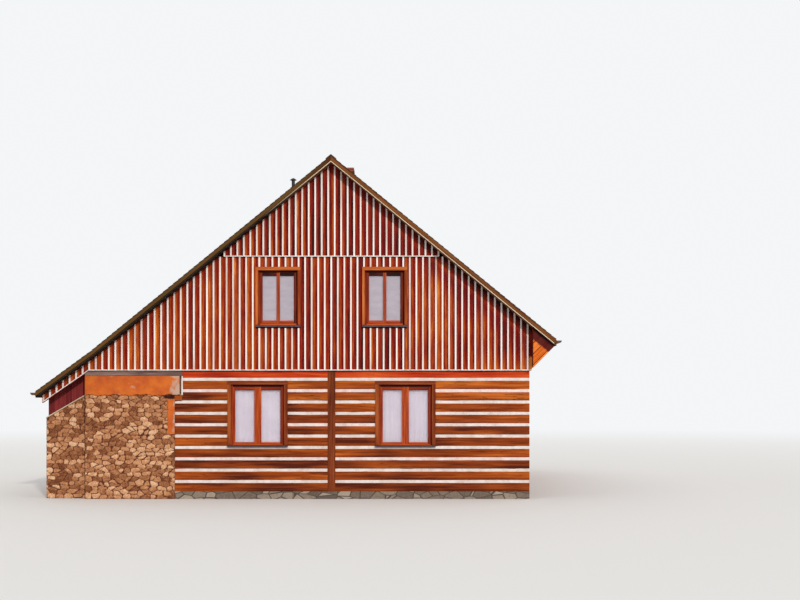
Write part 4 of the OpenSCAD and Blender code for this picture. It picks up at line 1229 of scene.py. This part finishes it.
def eavesBox():
    # the box's end: the wall's line, a slanting lower edge, the blunt tip and the roof's underside. Its
    # planks lie parallel to the lower edge, and each is what is left of the outline between two distances
    # from that edge
    x0, x1 = house["boardRight"], roof["right"] - boxed["tip"]
    z0, z1 = float(eaveZ(x0)), float(eaveZ(x1))
    faceY, far, skin = boxed["front"], houseLen + boxed["front"], boxed["skin"]
    outline = [np.array(c) for c in ((x0, z0 - boxed["drop"]), (x1, z1 - boxed["blunt"]), (x1, z1), (x0, z0))]
    corner, edge = outline[0], outline[1] - outline[0]
    along = edge / np.hypot(*edge)
    square = np.array([-along[1], along[0]])
    core = prism(clipped(outline, corner + square * (skin - 0.001), square), skin - 0.002 - faceY,
                 far - skin + 0.002)
    tall = float(np.dot(outline[3] - corner, square))
    marks = np.concatenate([[0.0], np.arange(boxed["edge"], tall - 0.03, boxed["plank"]),
                            [tall + boxed["gap"]]])
    ends = []
    for k, (start, stop) in enumerate(zip(marks[:-1], marks[1:])):
        plank = clipped(outline, corner + square * start, square)
        plank = clipped(plank, corner + square * (stop - boxed["gap"]), -square)
        ends.append(prism(plank, -faceY, skin - faceY, boxed["tints"][k % len(boxed["tints"])], along))
    under = []
    for k in range(boxed["under"]):
        a = corner + edge * k / boxed["under"]
        b = corner + edge * (k + 1) / boxed["under"] - along * 0.006
        x, z = (a + b) / 2 + square * skin / 2
        under.append(bars((x, skin - faceY, z), (x, far - skin, z), (along[0], 0, along[1]),
                          (-square[0], 0, -square[1]), np.hypot(*(b - a)), skin - 0.002, seed=110 + k))
    return core, ends, under


def eavesShade(colour):
    # painted shade of the verge: near-black close under it, then a maroon band of painted shadow, then the
    # orange planks
    below = centred(noise(places(colour.tree), 9.0, 3.0, 0.6)) * 0.05 + belowRoof(*houseAxes(colour.tree))
    colour = blendColour(spread(below, 0.45, 0.49, 0.95, 0.0), colour, (76, 3, 18))
    return blendColour(spread(below, 0.22, 0.30, 0.9, 0.0), colour, (26, 6, 6))


core, ends, under = eavesBox()
shadeWood = woodMaterial("shadeWood", (66, 14, 14), (104, 32, 24), (138, 58, 36), along=(0.8, 20, 1),
                         bumpiness=0.3)
soffitWood = woodMaterial("soffitWood", (150, 56, 16), (206, 98, 34), (238, 140, 66), along=(1.0, 24, 1),
                          checks=0.5)
endWood = woodMaterial("endWood", (168, 60, 10), (226, 108, 30), (248, 152, 66), along=(1.0, 24, 1),
                       spreadTint=0.45, checks=0.5, over=eavesShade)
build("eavesCore", [core], shadeWood, ["eaves_box"])
build("eavesBoards", under, soffitWood)
build("eavesEnds", bothGables(ends), endWood)

# chimney bricks and vent pipe
brick = {"long": 0.25, "high": 0.065, "joint": 0.010, "proud": 0.004, "deep": 0.05, "crown": 0.110,
         "stackFrom": (-0.26, 6.0), "stackTo": (0.26, 6.52)}


def brickRing(lowEnd, highEnd, z, shift):
    # one course round a rectangle: whole bricks along each side, ends meeting at the corners
    (x0, y0), (x1, y1) = lowEnd, highEnd
    corners = np.array([(x0, y0), (x1, y0), (x1, y1), (x0, y1), (x0, y0)])
    course, length = [], brick["long"] + brick["joint"]
    for k, out in enumerate((front, acrossX, inwards, (-1, 0, 0))):
        a, b = corners[k], corners[k + 1]
        span = np.hypot(*(b - a))
        along = (b - a) / span
        first = length * 0.5 if (shift + k) % 2 else 0.0
        marks = np.unique(np.round(np.concatenate([[0], np.arange(first, span - 0.05, length), [span]]), 4))
        marks = marks[np.concatenate([[True], np.diff(marks) > 0.06])]
        marks[-1] = span
        for p, q in zip(marks[:-1], marks[1:]):
            course.append((*(a + along * (p + brick["joint"] / 2)), *(a + along * (q - brick["joint"] / 2)),
                           *out, z))
    return course


def stackBricks():
    # courses down from the crown to the foot of the stack, and a wider one round the crown
    lo, hi = low("chimney"), high("chimney")
    course, crownZ = brick["high"] + brick["joint"], hi[2] - brick["crown"]
    rows = []
    for i in range(int((crownZ - lo[2]) / course)):
        rows += brickRing(brick["stackFrom"], brick["stackTo"], crownZ - (i + 0.5) * course, i)
    rows += brickRing(lo[:2], hi[:2], crownZ + 0.5 * course + 0.012, 0)
    r = np.array(rows)
    out, z = r[:, 4:7], r[:, 7]
    shift = out * (brick["proud"] - brick["deep"] / 2)
    return [bars(xyz(r[:, 0], r[:, 1], z) + shift, xyz(r[:, 2], r[:, 3], z) + shift, upZ, out, brick["high"],
                 brick["deep"], seed=121)]


redBrick = stoneMaterial("redBrick", [(0.0, (104, 30, 20)), (0.5, (150, 48, 30)), (1.0, (184, 78, 52))])
build("stackBricks", stackBricks(), redBrick)
finishNodes(limeMaterial("stackMortar", (160, 138, 124), (120, 100, 90), 2.0, 0.5), "chimney")
vent = {"x": -1.098, "y": 1.500, "pipe": 0.043, "hat": 0.086, "rise": 0.056, "sides": 36}


def lathe(profile, middle, sides):
    # (radius, height) pairs turned round an upright axis, x = r cos a and y = r sin a, both ends closed
    profile = np.asarray(profile, float)
    n = len(profile)
    turn = np.arange(sides) / sides * 2 * np.pi
    r, z = profile[:, :1], profile[:, 1:]
    points = xyz(middle[0] + r * np.cos(turn), middle[1] + r * np.sin(turn), z).reshape(-1, 3)
    i, k = np.arange(n - 1)[:, None] * sides, np.arange(sides)
    k2 = (k + 1) % sides
    quads = np.stack([i + k, i + k2, i + sides + k2, i + sides + k], -1).reshape(-1, 4)
    ends = np.stack([k[::-1], k + (n - 1) * sides])
    flat = np.stack([np.arctan2(points[:, 1] - middle[1], points[:, 0] - middle[0]) * 0.05, points[:, 2]], 1)
    return {"points": points, "faces": [quads, ends], "uvs": [flat[quads], flat[ends]],
            "tint": np.full(n * sides, 0.5)}


def ventParts():
    # a pipe with a sloping hat
    top, foot, middle = high("vent_pipe")[2], float(roofZ(vent["x"], 0.12)), (vent["x"], vent["y"])
    rim, r, w = top - vent["rise"], vent["pipe"], vent["hat"]
    hat = [(w - 0.006, rim - 0.004), (w, rim), (w, rim + 0.006), (w * 0.55, rim + 0.034), (0.010, top)]
    return [lathe(profile, middle, vent["sides"]) for profile in ([(r, foot), (r, rim + 0.004)], hat)]


build("ventPipe", ventParts(), metalMaterial("ventSheet", (20, 20, 26), (46, 46, 54), 0.4),
      ["vent_pipe"])
print("chimney and vent built")

# CAD nodes that keep their meshes
limeWhite = limeMaterial("limeWhite", (248, 236, 232), (222, 200, 190), 2.0, 0.5)
finishNodes(limeWhite, "front_chinking", "back_chinking", "right_chinking")
# lime in the corner between the stone and the upper logs
pointing = {"x": house["endHigh"] - 0.003, "y": -0.020, "foot": 2.60, "top": 3.072, "wide": 0.028,
            "deep": 0.034}
start, end = ((pointing["x"], pointing["y"], pointing[key]) for key in ("foot", "top"))
corner = bars(start, end, acrossX, front, pointing["wide"], pointing["deep"], rings=12, wave=0.004, seed=131)
build("cornerPointing", bothGables([corner]), limeWhite)


def plinthMaterial():
    # rough squared blocks drawn by a stretched cell pattern
    mat, tree = newMaterial("plinthStone")
    where = shade("ShaderNodeMapping", {"Vector": places(tree), "Scale": (3.0, 3.0, 6.0)})
    cells = shade("ShaderNodeTexVoronoi", {"Vector": where, "Scale": 1.0}, feature="DISTANCE_TO_EDGE")
    tone = shade("ShaderNodeTexVoronoi", {"Vector": where, "Scale": 1.0}, 1)
    fine = noise(places(tree), 30, 5.0, 0.6)
    edge = spread(cells, 0.02, 0.055)
    grey = ramp(centred(fine) * 0.3 + tone,
                [(0.1, (96, 82, 70)), (0.5, (134, 118, 104)), (0.9, (168, 152, 136))])
    colour = blendColour(edge, (74, 62, 54), grey)
    return finish(mat, colour, fromNoise(fine, 0.95, 0.8), edge * 1.5 + fine, (0.5, 0.008))


finishNodes(plinthMaterial(), "front_plinth", "back_plinth", "right_plinth")
finishNodes(limeMaterial("screed", (176, 170, 160), (150, 142, 132), 0.6, 0.3), "ground_floor")
finishNodes(woodMaterial("floorWood", (120, 88, 56), (164, 126, 84), (196, 160, 116), kind="Object",
                         along=(9, 0.5, 9), bumpiness=0.3), "attic_floor")
finishNodes(woodMaterial("kneeWood", (120, 46, 30), (166, 82, 54), (196, 112, 78), kind="Object",
                         along=(9, 9, 0.5), bumpiness=0.3), "right_knee_wall")

# floor under the house
stageFloor = {"half": 300.0, "seen": (228, 226, 222), "lit": (0.42, 0.42, 0.41, 1), "near": 15.0, "far": 75.0}


def floorMaterial():
    # pale where it is looked at and duller for the light it throws back; far off it becomes the backdrop
    mat, tree = newMaterial("stageFloor")
    ray = Field(put(tree, "ShaderNodeLightPath").outputs[0])
    finish(mat, blendColour(ray, stageFloor["lit"], stageFloor["seen"]), 0.9, gloss=0.1)
    off = shade("ShaderNodeVectorMath", {0: places(tree)}, "Value", operation="LENGTH")
    share = shade("ShaderNodeMapRange", {0: off, 1: stageFloor["near"], 2: stageFloor["far"]},
                  interpolation_type="SMOOTHSTEP")
    glow = put(tree, "ShaderNodeEmission", {0: light["pale"], 1: light["backdrop"]})
    plain = tree.nodes["Principled BSDF"]
    mix = shade("ShaderNodeMixShader",
                {0: share * ray, 1: Field(plain.outputs[0]), 2: Field(glow.outputs[0])})
    setInputs(tree.nodes["Material Output"], {"Surface": mix})
    return mat


half = stageFloor["half"]
mesh = bpy.data.meshes.new("stageFloor")
mesh.from_pydata([(-half, -half, 0), (half, -half, 0), (half, half, 0), (-half, half, 0)], [], [(0, 1, 2, 3)])
mesh.materials.append(floorMaterial())
newObject("stageFloor", mesh)
